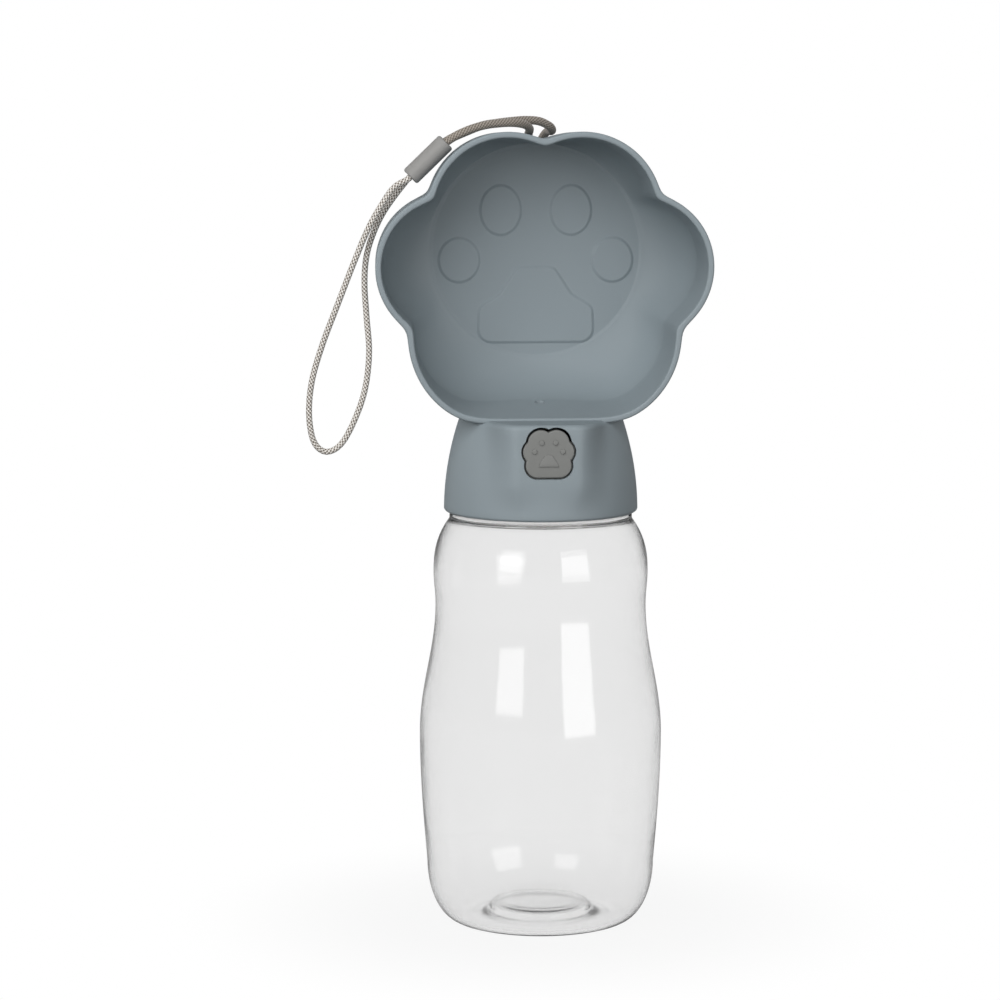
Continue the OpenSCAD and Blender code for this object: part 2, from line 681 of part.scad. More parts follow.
PLUG_GROOVE = 1.2;
module end_plug() {
    socket_r = chamber_r - chamber_wall + 0.3;
    color(NATURAL) difference() {
        union() {
            along_y(socket_r - SLIP, inlet_end_y + SLIP, socket_end_y + 0.5);
            along_y(chamber_r, socket_end_y + SLIP, socket_end_y + 1.6);
            along_y(chamber_r - 3, socket_end_y + 1, socket_end_y + 3.4);
        }
        along_y(stem_r + stem_fit, inlet_end_y - OVER, inlet_end_y + button_travel + 1.6);
        difference() {
            along_y(chamber_r, inlet_end_y + 0.6, inlet_end_y + 0.6 + 2 * PLUG_GROOVE / 2 + 0.4);
            along_y(socket_r - PLUG_GROOVE - 0.2, inlet_end_y, inlet_end_y + 3);
        }
    }
}

module end_plug_o_ring() {
    socket_r = chamber_r - chamber_wall + 0.3;
    section_r = PLUG_GROOVE / 2 + 0.03;
    color(BLACK_RUBBER) o_ring(socket_r - SLIP - 2 * section_r, section_r, inlet_end_y + 0.6 + PLUG_GROOVE / 2 + 0.2);
}

// ---------- spring ----------

SPRING_SIDES = 6;
RINGS_PER_TURN = 8;
spring_front_y = button_back_y + SLIP + wire_d / 2;
spring_rear_y = gland_y - 1 - SLIP - wire_d / 2;
end_pitch = wire_d + 0.45;          // rise of the two closed end turns

function spring_rise(turn) =
    let (
        length = spring_rear_y - spring_front_y,
        pitch = (length - 2 * end_pitch) / (spring_turns - 2)
    )
    turn < 1 ? end_pitch * turn
        : turn > spring_turns - 1 ? length - end_pitch * (spring_turns - turn)
        : end_pitch + pitch * (turn - 1);
spring_path = [for (i = [0:spring_turns * RINGS_PER_TURN])
    let (turn = i / RINGS_PER_TURN)
    [spring_r * cos(360 * turn), spring_front_y + spring_rise(turn), valve_z + spring_r * sin(360 * turn)]];
spring_gap = min([for (i = [0:len(spring_path) - 1], j = [i + RINGS_PER_TURN / 2:1:len(spring_path) - 1])
    norm(spring_path[i] - spring_path[j])]) - wire_d;
echo(str("least gap of the spring to itself: ", spring_gap, " mm"));

module return_spring() {
    color(STEEL) tube(spring_path, wire_d, SPRING_SIDES);
}

// ---------- button and stem ----------

DOTS = [[2.25, 3.6], [4.6, 0.7]];   // the small raised dots, right half
DOT_R = 1;
RELIEF = 0.4;
PAD_LOW = [3.2, -4.2];              // half width and place of the small pad's lower edge
PAD_TOP = [1.5, -0.2];              // of its upper edge
HUB_R = 3.4;                        // hub that grips the stem
HUB_L = 3.6;

module button() {
    color(WARM_GREY) difference() {
        union() {
            button_outline(-button_gap, button_face_y, button_back_y);
            intersection() {
                button_outline(EAR, panel_back_y + 0.3, button_back_y);
                ear_limit(EAR_TOP);
            }
            along_y(HUB_R, button_back_y - 0.5, button_back_y + HUB_L);
            for (s = [-1, 1], dot = DOTS) translate([s * dot[0], button_face_y + 0.2, valve_z + dot[1]])
                rotate([90, 0, 0]) cylinder(r1 = DOT_R, r2 = DOT_R - 0.3, h = RELIEF + 0.2, $fn = 24);
            translate([0, button_face_y + 0.2, valve_z]) rotate([90, 0, 0])
                linear_extrude(RELIEF + 0.2) polygon([[-PAD_LOW[0], PAD_LOW[1]], PAD_LOW, PAD_TOP, [-PAD_TOP[0], PAD_TOP[1]]]);
        }
        along_y(stem_r + 0.02, stem_front_y - SLIP, button_back_y + HUB_L + OVER);
    }
}

stem_front_y = button_face_y + 1.6;
stem_rear_y = inlet_end_y + 1;
seal_t = 1.4;
disc_y = seat_y + 2 * SLIP + seal_t;
disc_t = 1.5;
clip_y = disc_y + disc_t + SLIP;
CLIP_T = 0.6;
CLIP_NECK = 0.5;      // depth of the clip's groove
disc_r = chamber_r - chamber_wall - 0.8;

module valve_stem() {
    color(STEEL) difference() {
        along_y(stem_r, stem_front_y, stem_rear_y);
        difference() {
            along_y(stem_r + OVER, clip_y, clip_y + CLIP_T + SLIP);
            along_y(stem_r - CLIP_NECK, clip_y - OVER, clip_y + CLIP_T + OVER);
        }
    }
}

module poppet_seal() {
    color(SILICONE) difference() {
        along_y(disc_r, seat_y + SLIP, seat_y + SLIP + seal_t);
        along_y(stem_r + 0.02, seat_y - OVER, disc_y + OVER);
    }
}

module poppet_disc() {
    color(NATURAL) difference() {
        along_y(disc_r, disc_y, disc_y + disc_t);
        along_y(stem_r + 0.02, disc_y - OVER, disc_y + disc_t + OVER);
    }
}

module stem_clip() {
    neck = stem_r - CLIP_NECK;
    color(STEEL) difference() {
        along_y(stem_r + 1.1, clip_y + 0.02, clip_y + CLIP_T);
        along_y(neck + 0.02, clip_y - OVER, clip_y + CLIP_T + OVER);
        translate([-neck * 0.8, clip_y - OVER, valve_z]) cube([1.6 * neck, CLIP_T + 2 * OVER, 2 * stem_r + 2]);
    }
}

// ---------- lanyard ----------

SLEEVE_MID = [-37.7, -9, 255];
SLEEVE_LEAN = 46;                   // its upper end leans to the right
CORD_SPREAD = 1.6;                  // the two cords lie this far before and behind the sleeve's middle
sleeve_dir = [sin(SLEEVE_LEAN), 0, cos(SLEEVE_LEAN)];

// Long round shape: two circles with straight sides between them
module stadium(r, half) {
    for (s = [-1, 1]) translate([0, s * half]) circle(r = r);
    translate([-r, -half]) square([2 * r, 2 * half]);
}

// One half of the sleeve: the front one where side is -1
module sleeve_half(side) {
    reach = 10;
    translate(SLEEVE_MID) rotate([0, SLEEVE_LEAN, 0]) difference() {
        linear_extrude(sleeve_l, center = true) stadium(sleeve_t / 2, 0.9);
        linear_extrude(sleeve_l + 2, center = true) stadium(strap_d / 2 + 0.3, CORD_SPREAD);
        translate([-reach, side > 0 ? -2 * reach + 0.04 : -0.04, -reach]) cube([2 * reach, 2 * reach, 2 * reach]);
    }
}

module sleeve_front() { color(WARM_GREY) sleeve_half(-1); }
module sleeve_back() { color(WARM_GREY) sleeve_half(1); }

// A point inside the sleeve: how far up from its middle, and on which side of it
function in_sleeve(up, side) = SLEEVE_MID + up * sleeve_dir + [0, side * CORD_SPREAD, 0];

// Along the bowl's top, down behind it, under and up behind the eyelet's bar, over itself and back
STRAP_ROUTE = [
    in_sleeve(2, -1), in_sleeve(8.5, -1), [-26, -10.6, 263], [-19.5, -8.4, 264.8], [-13, -5.6, 265.8],
    [-8, -2, 265.8], [-4.6, 3.4, 264.6], [-2.8, 9.5, 263.4], [-2.4, 17, 263.2], [-2.3, 22.6, 262.6],
    [-2.2, 25.7, 260.4], [-2.2, 26, 256.6], [-1.6, 27, 253.4], [0, 29.6, 252.4], [1.4, 32, 254],
    [2, 32.6, 257], [3, 31, 260.8], [5.2, 26.6, 263.6], [7, 20, 264.8], [6.6, 13.6, 265.6],
    [2, 9.6, 266.4], [-3, 6.8, 267.2], [-9, 2.6, 267.4], [-14, -1, 266.8], [-19.5, -4.4, 265.4],
    [-25, -6.8, 263.6], in_sleeve(8.5, 1), in_sleeve(2, 1)
];
LOOP_ROUTE = [
    in_sleeve(-2, -1), in_sleeve(-8.5, -1), [-48.5, -11, 246.4], [-52, -11.4, 242], [-57, -11.6, 233.5],
    [-62, -11.6, 222], [-67.5, -11.6, 208], [-72.5, -11.4, 195], [-76, -11, 183], [-77, -10.5, 172],
    [-75.5, -10, 163], [-71.5, -9.5, 159.5], [-66.5, -9, 162], [-62, -9, 170], [-58.6, -9, 180],
    [-57.2, -9, 192], [-58, -9, 204], [-58.6, -9, 215], [-57.8, -8.6, 224], [-55.2, -8, 232],
    [-51.2, -7.6, 239.5], in_sleeve(-8.5, 1), in_sleeve(-2, 1)
];

module eyelet_strap() {
    color(STRAP_BROWN) tube(curve(STRAP_ROUTE, 2), strap_d, 8);
}

module wrist_loop() {
    color(CORD_GREY) tube(curve(LOOP_ROUTE, 2), loop_d, 8);
}

bottle();
neck_gasket();
head_shell();
inner_cap();
valve_body();
valve_screws();
outlet_seal();
stem_o_ring();
gland_bush();
end_plug();
end_plug_o_ring();
return_spring();
button();
valve_stem();
poppet_seal();
poppet_disc();
stem_clip();
sleeve_front();
sleeve_back();
eyelet_strap();
wrist_loop();
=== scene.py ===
# %% [markdown]
# # A travel water bottle for dogs
#
# The real thing is a clear blow-moulded bottle with a grey head screwed onto it. The head is one
# moulding: a collar, and above it an upright bowl in the shape of a paw. A small button in the
# collar opens a valve, and water runs up into the bowl. A lanyard hangs from behind the bowl.
#
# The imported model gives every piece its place. This lesson dresses it: visible pieces are built
# again with finer shapes, and hidden ones keep their solids and get their finishes.

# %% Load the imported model
import math

import bmesh
import bpy
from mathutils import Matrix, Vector
from mathutils.geometry import convex_hull_2d


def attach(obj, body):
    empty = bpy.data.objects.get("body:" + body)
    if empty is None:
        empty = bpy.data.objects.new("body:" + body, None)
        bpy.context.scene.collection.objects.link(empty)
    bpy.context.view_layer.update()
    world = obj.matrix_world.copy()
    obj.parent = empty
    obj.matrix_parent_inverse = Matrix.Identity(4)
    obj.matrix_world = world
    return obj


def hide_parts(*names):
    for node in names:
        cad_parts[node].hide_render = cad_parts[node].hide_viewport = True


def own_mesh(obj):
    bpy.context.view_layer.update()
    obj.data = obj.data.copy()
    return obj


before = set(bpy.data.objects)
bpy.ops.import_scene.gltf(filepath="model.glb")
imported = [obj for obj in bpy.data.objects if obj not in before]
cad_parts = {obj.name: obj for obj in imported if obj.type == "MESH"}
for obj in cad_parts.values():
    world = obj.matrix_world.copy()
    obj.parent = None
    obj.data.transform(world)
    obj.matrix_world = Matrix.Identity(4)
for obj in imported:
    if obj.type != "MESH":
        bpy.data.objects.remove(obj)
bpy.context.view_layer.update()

MM = 0.001

# %% [markdown]
# ## The camera
#
# The curves of the base, the shoulder and the collar's edge in the photograph give the camera: a
# long lens, 1.23 m in front of the bottle, 302 mm above the table, 4.7 degrees to the left, and
# tipped 7.4 degrees down. The lens is set from the focal length in picture widths, so no shift is
# needed. The alternative, aiming a Track To constraint at the bottle, would hide these numbers.

# %% Camera
PICTURE = 1000                        # pixels on each side
FOCAL = 3727                          # focal length in pixels
HORIZON_UP, AXIS_RIGHT = 486, 41      # where they lie from the picture's middle, in pixels
SENSOR = 36                           # width in millimetres
SIDEWAYS = math.radians(4.7)
AWAY, HEIGHT = 1.23, 0.302
bpy.ops.object.camera_add(
    location=(-AWAY * math.sin(SIDEWAYS), -AWAY * math.cos(SIDEWAYS), HEIGHT),
    rotation=(math.pi / 2 - math.atan(HORIZON_UP / FOCAL), 0,
              math.atan(AXIS_RIGHT / FOCAL) - SIDEWAYS))
camera = bpy.context.object
camera.data.sensor_width = SENSOR
camera.data.lens = SENSOR * FOCAL / PICTURE
bpy.context.scene.camera = camera
bpy.context.scene.view_settings.view_transform = "Standard"
print("lens", round(camera.data.lens, 1), "mm")

# %% [markdown]
# ## Colours and nodes
#
# Colours are written as sRGB hex values, as a colour picker shows them. Blender's shaders work in
# linear light, so one function turns them over. A second small function adds a node, sets it and
# links it, which keeps each material down to a few readable lines.

# %% Helpers for materials
def linear(hex_colour):
    """An sRGB hex colour as the linear RGBA that shaders use."""
    parts = [int(hex_colour[i:i + 2], 16) / 255 for i in (1, 3, 5)]
    return [p / 12.92 if p <= 0.04045 else ((p + 0.055) / 1.055) ** 2.4 for p in parts] + [1]


def add(material, kind, inputs=None, **settings):
    """Adds a node to a material, with its settings, and links or fills its inputs."""
    made = material.node_tree.nodes.new(kind)
    for name, value in settings.items():
        setattr(made, name, value)
    for socket, value in (inputs or {}).items():
        if isinstance(value, bpy.types.NodeSocket):
            material.node_tree.links.new(value, made.inputs[socket])
        else:
            made.inputs[socket].default_value = value
    return made


def new_material(name):
    """An empty material and its output, which waits for a shader."""
    material = bpy.data.materials.new(name)
    material.use_nodes = True
    material.node_tree.nodes.clear()
    return material


def show(material, shader):
    """Sends a shader node to the material's output."""
    add(material, "ShaderNodeOutputMaterial", {"Surface": shader.outputs[0]})


# %% [markdown]
# ## Helpers for shapes
#
# Most pieces here are lofts: a row of outlines joined by a skin. A circle primitive is added, its
# points are moved onto the first outline, and it is extruded once for each further outline. The
# points carry a number, which an extrude copies, so each new point finds its place in the next
# outline. Modelling by subdivision would be the other way, but these outlines are known exactly.

# %% Helpers for shapes
def mm(x, y, z):
    """A point given in millimetres."""
    return Vector((x, y, z)) * MM


def clear_selection():
    """Leaves edit mode and deselects everything, because operators act on all that is selected."""
    if bpy.context.object and bpy.context.object.mode != "OBJECT":
        bpy.ops.object.mode_set(mode="OBJECT")
    bpy.ops.object.select_all(action="DESELECT")


def choose(piece):
    """Makes one piece the selected and active one."""
    clear_selection()
    piece.select_set(True)
    bpy.context.view_layer.objects.active = piece


def loft(name, rings):
    """A closed skin through outlines that all have the same number of points, in millimetres."""
    clear_selection()
    bpy.ops.mesh.primitive_circle_add(vertices=len(rings[0]), radius=MM)
    piece = bpy.context.object
    piece.name = piece.data.name = name
    bpy.ops.object.mode_set(mode="EDIT")
    mesh = bmesh.from_edit_mesh(piece.data)
    number = mesh.verts.layers.int.new("number")
    for index, vert in enumerate(mesh.verts):
        vert[number] = index
    bmesh.update_edit_mesh(piece.data)
    for index, ring in enumerate(rings):
        if index:
            bpy.ops.mesh.extrude_region_move()
        mesh = bmesh.from_edit_mesh(piece.data)
        number = mesh.verts.layers.int["number"]
        for vert in mesh.verts:
            if vert.select:
                vert.co = mm(*ring[vert[number]])
        bmesh.update_edit_mesh(piece.data)
    bpy.ops.mesh.edge_face_add()
    bpy.ops.mesh.select_all(action="DESELECT")
    bpy.ops.mesh.select_non_manifold()
    bpy.ops.mesh.edge_face_add()
    bpy.ops.mesh.select_all(action="SELECT")
    bpy.ops.mesh.normals_make_consistent(inside=False)
    bpy.ops.object.mode_set(mode="OBJECT")
    return piece


def turned(name, profile, steps):
    """A closed half section, as radius and height in millimetres, spun about the upright axis."""
    clear_selection()
    bpy.ops.mesh.primitive_plane_add(size=MM)
    piece = bpy.context.object
    piece.name = piece.data.name = name
    bpy.ops.object.mode_set(mode="EDIT")
    bpy.ops.mesh.merge(type="CENTER")
    bpy.ops.transform.translate(value=mm(profile[0][0], 0, profile[0][1]))
    for before, after in zip(profile, profile[1:]):
        step = mm(after[0] - before[0], 0, after[1] - before[1])
        bpy.ops.mesh.extrude_region_move(TRANSFORM_OT_translate={"value": step})
    bpy.ops.mesh.select_all(action="SELECT")
    bpy.ops.mesh.spin(steps=steps, angle=2 * math.pi, center=(0, 0, 0), axis=(0, 0, 1))
    bpy.ops.mesh.select_all(action="SELECT")
    bpy.ops.mesh.remove_doubles(threshold=MM / 1000)
    bpy.ops.mesh.normals_make_consistent(inside=False)
    bpy.ops.object.mode_set(mode="OBJECT")
    return piece


def apply_modifier(piece, kind, **settings):
    """Adds a modifier, sets it and applies it."""
    choose(piece)
    bpy.ops.object.modifier_add(type=kind)
    modifier = piece.modifiers[-1]
    for name, value in settings.items():
        setattr(modifier, name, value)
    bpy.ops.object.modifier_apply(modifier=modifier.name)


def combine(piece, tool, how="UNION"):
    """Joins a second shape to a piece, and removes it."""
    apply_modifier(piece, "BOOLEAN", object=tool, operation=how, solver="EXACT")
    bpy.data.objects.remove(tool)


def cut(piece, tool):
    """Cuts a second shape away from a piece, and removes it."""
    combine(piece, tool, "DIFFERENCE")


def smooth(piece, angle):
    """Smooth shading, except at edges sharper than the angle."""
    choose(piece)
    bpy.ops.object.shade_smooth_by_angle(angle=math.radians(angle))


def settle(piece, body, slot, material, *stands_for):
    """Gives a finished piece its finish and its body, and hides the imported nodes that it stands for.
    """
    piece.data.materials.clear()
    piece.data.materials.append(material)
    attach(piece, body)
    if stands_for:
        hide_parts(*stands_for)
    piece.data.calc_loop_triangles()
    print(piece.name, len(piece.data.loop_triangles), "triangles, on", body)


def arc(count, start=0, end=90):
    """Sine and cosine of evenly spaced angles, for rounded edges."""
    turns = [math.radians(start + (end - start) * i / count) for i in range(count + 1)]
    return [(math.sin(t), math.cos(t)) for t in turns]


def around(count):
    """Sine and cosine of evenly spaced angles all the way round, for outlines."""
    turns = [2 * math.pi * i / count for i in range(count)]
    return [(math.sin(t), math.cos(t)) for t in turns]


# %% [markdown]
# ## The lanyard's cords
#
# The photograph shows two braided polyester cords. A thicker brown-grey one is hitched round the
# eyelet behind the bowl, and both its legs lie over the bowl's upper edge and run down to a small
# sleeve. From the sleeve hangs a thinner loop for the wrist, grey with light specks. The loop is
# in the photograph from end to end, so its length is the length of its route.
#
# A curve with a bevel would give the same tubes. Here the tube is skinned in code, so that its UV
# map has millimetres along the cord, and the braid can be drawn at its real size. The loop's
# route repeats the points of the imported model. The strap's route lies a few millimetres off them,
# where the photograph shows its legs closer together on the bowl's upper edge.

# %% Routes of the cords
STRAP_D, LOOP_D = 2.8, 2.0
STRAP_STEPS, LOOP_STEPS = 8, 12       # between two points of a route
SLEEVE_MID, SLEEVE_LEAN, CORD_SPREAD = Vector((-37.7, -9, 255)), math.radians(46), 1.6
SLEEVE_DIR = Vector((math.sin(SLEEVE_LEAN), 0, math.cos(SLEEVE_LEAN)))


def in_sleeve(up, side):
    """A point inside the sleeve: how far up from its middle, and on which side of it."""
    return SLEEVE_MID + up * SLEEVE_DIR + Vector((0, side * CORD_SPREAD, 0))


STRAP_ROUTE = [
    in_sleeve(2, -1), in_sleeve(8.5, -1), (-26, -10.6, 264), (-19.5, -8.4, 266), (-13, -5.6, 266.7),
    (-8.4, -3, 266.6), (-5.2, 0.2, 265.9), (-3.6, 4.2, 264.7), (-3.1, 9.4, 263.8), (-3, 15.6, 262.4),
    (-2.6, 21, 261.9), (-2.2, 25.7, 260.4), (-2.2, 26, 256.6), (-1.6, 27, 253.4), (0, 29.6, 252.4),
    (1.4, 32, 254), (2, 32.6, 257), (3, 31, 260.8), (4.4, 26.6, 263), (5, 20.6, 263.2),
    (4.8, 14.6, 263.9), (3.4, 10, 265.3), (-0.2, 7.4, 266.9), (-5, 5.2, 267.3), (-10.2, 2.2, 267),
    (-14.6, -1.4, 266.6), (-19.5, -4.6, 265.9), (-25, -6.9, 264), in_sleeve(8.5, 1), in_sleeve(2, 1)]
UNDER_BAR = 14 * STRAP_STEPS          # where the strap's line passes under the eyelet's bar
LOOP_ROUTE = [
    in_sleeve(-2, -1), in_sleeve(-8.5, -1), (-48.5, -11, 246.4), (-52, -11.4, 242), (-57, -11.6, 233.5),
    (-62, -11.6, 222), (-67.5, -11.6, 208), (-72.5, -11.4, 195), (-76, -11, 183), (-77, -10.5, 172),
    (-75.5, -10, 163), (-71.5, -9.5, 159.5), (-66.5, -9, 162), (-62, -9, 170), (-58.6, -9, 180),
    (-57.2, -9, 192), (-58, -9, 204), (-58.6, -9, 215), (-57.8, -8.6, 224), (-55.2, -8, 232),
    (-51.2, -7.6, 239.5), in_sleeve(-8.5, 1), in_sleeve(-2, 1)]


def smooth_curve(route, steps):
    """A smooth line through given points, with some steps between each pair."""
    route = [Vector(p) for p in route]
    line = []
    for i in range(len(route) - 1):
        a, b = route[max(i - 1, 0)], route[i]
        c, d = route[i + 1], route[min(i + 2, len(route) - 1)]
        for t in (s / steps for s in range(steps)):
            line.append(0.5 * (2 * b + (c - a) * t + (2 * a - 5 * b + 4 * c - d) * t * t
                               + (3 * b - 3 * c + d - a) * t ** 3))
    return line + [route[-1]]


def length_of(line):
    """Length of a line of points."""
    return sum((b - a).length for a, b in zip(line, line[1:]))


strap_line = smooth_curve(STRAP_ROUTE, STRAP_STEPS)
loop_line = smooth_curve(LOOP_ROUTE, LOOP_STEPS)
print("strap", round(length_of(strap_line), 1), "mm, wrist loop", round(length_of(loop_line), 1), "mm")

# %% [markdown]
# The cords carry a real braid in relief. Strands run each way round a braided cord, eight on the
# strap and five on the loop, and pass over and under each other. In the cord's own UV map, that
# is two families of slanting stripes. The strands of one family are lighter, and show in colour
# where they lie on top. The relief has its valleys along the strands' edges, and there the colour
# is painted darker, as painted shade.

# %% Tubes with a UV map in millimetres
def tube(name, line, diameter):
    """A round tube along a line in millimetres. U is millimetres along it, and V goes round it."""
    sides, end = 16, len(line) - 1
    dirs = [(line[min(i + 1, end)] - line[max(i - 1, 0)]).normalized() for i in range(len(line))]
    up, points, along, faces, travelled = Vector((0.1, 1, 0.2)), [], [], [], 0
    for i, (centre, ahead) in enumerate(zip(line, dirs)):
        up = (up - up.dot(ahead) * ahead).normalized()
        travelled += (centre - line[i - 1]).length if i else 0
        along.append(travelled)
        for k in range(sides):
            turn = 2 * math.pi * k / sides
            out = math.cos(turn) * up + math.sin(turn) * ahead.cross(up)
            points.append((centre + diameter / 2 * out) * MM)
    for i in range(end):
        for k in range(sides):
            a, b = i * sides + k, i * sides + (k + 1) % sides
            faces.append((a, b, b + sides, a + sides))
    last = end * sides
    faces += [tuple(range(sides))[::-1], tuple(range(last, last + sides))]
    mesh = bpy.data.meshes.new(name)
    mesh.from_pydata([tuple(p) for p in points], [], faces)
    layer = mesh.uv_layers.new(name="UVMap")
    for i in range(end):
        for k in range(sides):
            corners = ((i, k), (i, k + 1), (i + 1, k + 1), (i + 1, k))
            for loop, (ring, side) in zip(mesh.polygons[i * sides + k].loop_indices, corners):
                layer.data[loop].uv = (along[ring], side / sides)
    mesh.validate()
    piece = bpy.data.objects.new(name, mesh)
    bpy.context.collection.objects.link(piece)
    smooth(piece, 50)
    return piece


STRAND_RELIEF = 0.15                  # how far a strand stands out


def braid(name, ground, light, carriers, lay_mm, roughness):
    """Braided polyester. carriers strands go round each way, and each turns once in lay_mm."""
    material = new_material(name)
    uv = add(material, "ShaderNodeUVMap", uv_map="UVMap")
    split = add(material, "ShaderNodeSeparateXYZ", {"Vector": uv.outputs["UV"]})
    turns = add(material, "ShaderNodeMath", {0: split.outputs["X"], 1: carriers / lay_mm},
                operation="MULTIPLY")
    round_it = add(material, "ShaderNodeMath", {0: split.outputs["Y"], 1: carriers},
                   operation="MULTIPLY")
    waves = []
    for operation in ("ADD", "SUBTRACT"):
        slant = add(material, "ShaderNodeMath", {0: turns.outputs[0], 1: round_it.outputs[0]},
                    operation=operation)
        angle = add(material, "ShaderNodeMath", {0: slant.outputs[0], 1: math.pi}, operation="MULTIPLY")
        sine = add(material, "ShaderNodeMath", {0: angle.outputs[0]}, operation="SINE")
        waves.append(add(material, "ShaderNodeMath", {0: sine.outputs[0]}, operation="ABSOLUTE"))
    both = {0: waves[0].outputs[0], 1: waves[1].outputs[0]}
    # the relief is highest where two strands cross, and falls to valleys along their edges
    height = add(material, "ShaderNodeMath", both, operation="MULTIPLY")
    # the lighter family shows where its strands lie on top
    on_top = add(material, "ShaderNodeMath", both, operation="GREATER_THAN")
    strand = add(material, "ShaderNodeMix", {
        "Factor": on_top.outputs[0], "A": linear(ground), "B": linear(light)}, data_type="RGBA")
    # painted shade: the colour is darkened in the valleys along the strands' edges
    valley_painted_shade = add(material, "ShaderNodeMapRange", {
        "Value": height.outputs[0], "From Max": 0.55, "To Min": 0.62, "To Max": 1.0})
    shaded = add(material, "ShaderNodeMix", {
        "Factor": 1.0, "A": strand.outputs["Result"], "B": valley_painted_shade.outputs[0]},
        data_type="RGBA", blend_type="MULTIPLY")
    bump = add(material, "ShaderNodeBump", {
        "Strength": 0.7, "Distance": STRAND_RELIEF * MM, "Height": height.outputs[0]})
    shader = add(material, "ShaderNodeBsdfPrincipled", {
        "Base Color": shaded.outputs["Result"], "Roughness": roughness, "IOR": 1.57,
        "Sheen Weight": 0.25, "Sheen Roughness": 0.4, "Normal": bump.outputs[0]})
    show(material, shader)
    return material


strap_braid = braid("polyester_braid_brown_grey", "#736a61", "#aca49a", 8, 9.5, 0.75)
loop_braid = braid("polyester_braid_light_specks", "#827a71", "#f2eee8", 5, 6.5, 0.7)

# %% The cords themselves
for name, part in (("strap_left_leg", strap_line[:UNDER_BAR + 1][::-1]),
                   ("strap_right_leg", strap_line[UNDER_BAR:])):
    leg = tube(name, part, STRAP_D)
    settle(leg, "head", "strap_fabric", strap_braid, "eyelet_strap")
wrist_loop = tube("wrist_loop_cord", loop_line, LOOP_D)
settle(wrist_loop, "head", "cord_fabric", loop_braid, "wrist_loop")

# %% [markdown]
# ## Moulded plastics
#
# The head is satin ABS. Its mould was lightly spark-eroded, so the surface scatters light evenly
# and shows only broad soft highlights. A fine noise in the bump stands for that grain. The real
# grain is about 0.05 mm, which a render at this distance can't show, so it is drawn at 0.4 mm.
# A very slow second noise varies the gloss a little, as on any large moulding.

# %% Moulded plastics
GRAIN_DEEP, SLOW_WIDE = 0.04, 40      # depth of the grain, and width of the slow changes


def moulded(name, colour, roughness, grain_mm=0.4, ior=1.53, **more):
    """Satin moulded plastic with a fine grain and slow changes of gloss."""
    material = new_material(name)
    place = add(material, "ShaderNodeTexCoord").outputs["Object"]
    fine = add(material, "ShaderNodeTexNoise", {
        "Vector": place, "Scale": 1 / (grain_mm * MM), "Detail": 2.0, "Roughness": 0.6})
    slow = add(material, "ShaderNodeTexNoise", {
        "Vector": place, "Scale": 1 / (SLOW_WIDE * MM), "Detail": 1.0})
    spread = {"Value": slow.outputs["Fac"], "From Min": 0.3, "From Max": 0.7}
    gloss = add(material, "ShaderNodeMapRange", {
        **spread, "To Min": roughness - 0.04, "To Max": roughness + 0.04})
    tint = add(material, "ShaderNodeMapRange", {**spread, "To Min": 0.985, "To Max": 1.015})
    base = add(material, "ShaderNodeMix", {"Factor": 1.0, "A": linear(colour), "B": tint.outputs[0]},
               data_type="RGBA", blend_type="MULTIPLY")
    bump = add(material, "ShaderNodeBump", {
        "Strength": 0.5, "Distance": GRAIN_DEEP * MM, "Height": fine.outputs["Fac"]})
    shader = add(material, "ShaderNodeBsdfPrincipled", {
        "Base Color": base.outputs["Result"], "Roughness": gloss.outputs[0], "IOR": ior,
        "Normal": bump.outputs[0], **more})
    show(material, shader)
    return material


head_abs = moulded("satin_abs_grey_blue", "#848e93", 0.5)
button_abs = moulded("satin_abs_warm_grey", "#777876", 0.5)
sleeve_abs = moulded("satin_abs_sleeve_grey", "#8b8a88", 0.5)
natural_pom = moulded("acetal_natural_white", "#e2e0d8", 0.38, ior=1.48, **{
    "Subsurface Weight": 0.15, "Subsurface Scale": 0.001})

# %% [markdown]
# ## The sleeve on the lanyard
#
# A small oval tube in two halves, snapped together over the four ends of the cords. Its ends are
# rounded and its parting line shows as a fine groove that runs along it. The oval outline is
# lofted with rounded ends, the bore is cut out, and a copy is bisected for each half, on a plane
# that is tilted so that the groove lies where the photograph shows it.

# %% Sleeve halves
SLEEVE_L, SLEEVE_T, SLEEVE_FLAT, SLEEVE_ROUND, BORE_R = 16.4, 6.2, 0.9, 0.8, 1.7
SLEEVE_ACROSS = Vector((math.cos(SLEEVE_LEAN), 0, -math.sin(SLEEVE_LEAN)))
# the normal of the parting plane, about 30 degrees off the sleeve's flat side, and half its groove
PARTING, GROOVE = Vector((0, 0.87, 0)) - 0.5 * SLEEVE_ACROSS, 0.04


def oval(up, inset, half_gap, radius):
    """An oval outline across the sleeve at a height over its middle."""
    ring, count = [], 64
    for i in range(count):
        turn = 2 * math.pi * (i + 0.5) / count
        x, y = math.cos(turn), math.sin(turn)
        ring.append(SLEEVE_MID + up * SLEEVE_DIR + SLEEVE_ACROSS * (radius - inset) * x
                    + Vector((0, (radius - inset) * y + math.copysign(half_gap, y), 0)))
    return ring


def sleeve():
    """The whole sleeve: rounded ends, and the bore for the cords."""
    half = SLEEVE_L / 2
    ends = [(half - SLEEVE_ROUND * (1 - s), SLEEVE_ROUND * (1 - c)) for s, c in arc(5)]
    rings = [oval(-up, inset, SLEEVE_FLAT, SLEEVE_T / 2) for up, inset in ends[::-1]]
    rings += [oval(up, inset, SLEEVE_FLAT, SLEEVE_T / 2) for up, inset in ends]
    piece = loft("sleeve", rings)
    bore = [(half + 1, -0.5), (half - 0.2, -0.3), (half - 0.9, 0)]
    bore += [(-up, inset) for up, inset in bore[::-1]]
    cut(piece, loft("bore", [oval(up, inset, CORD_SPREAD, BORE_R) for up, inset in bore]))
    return piece


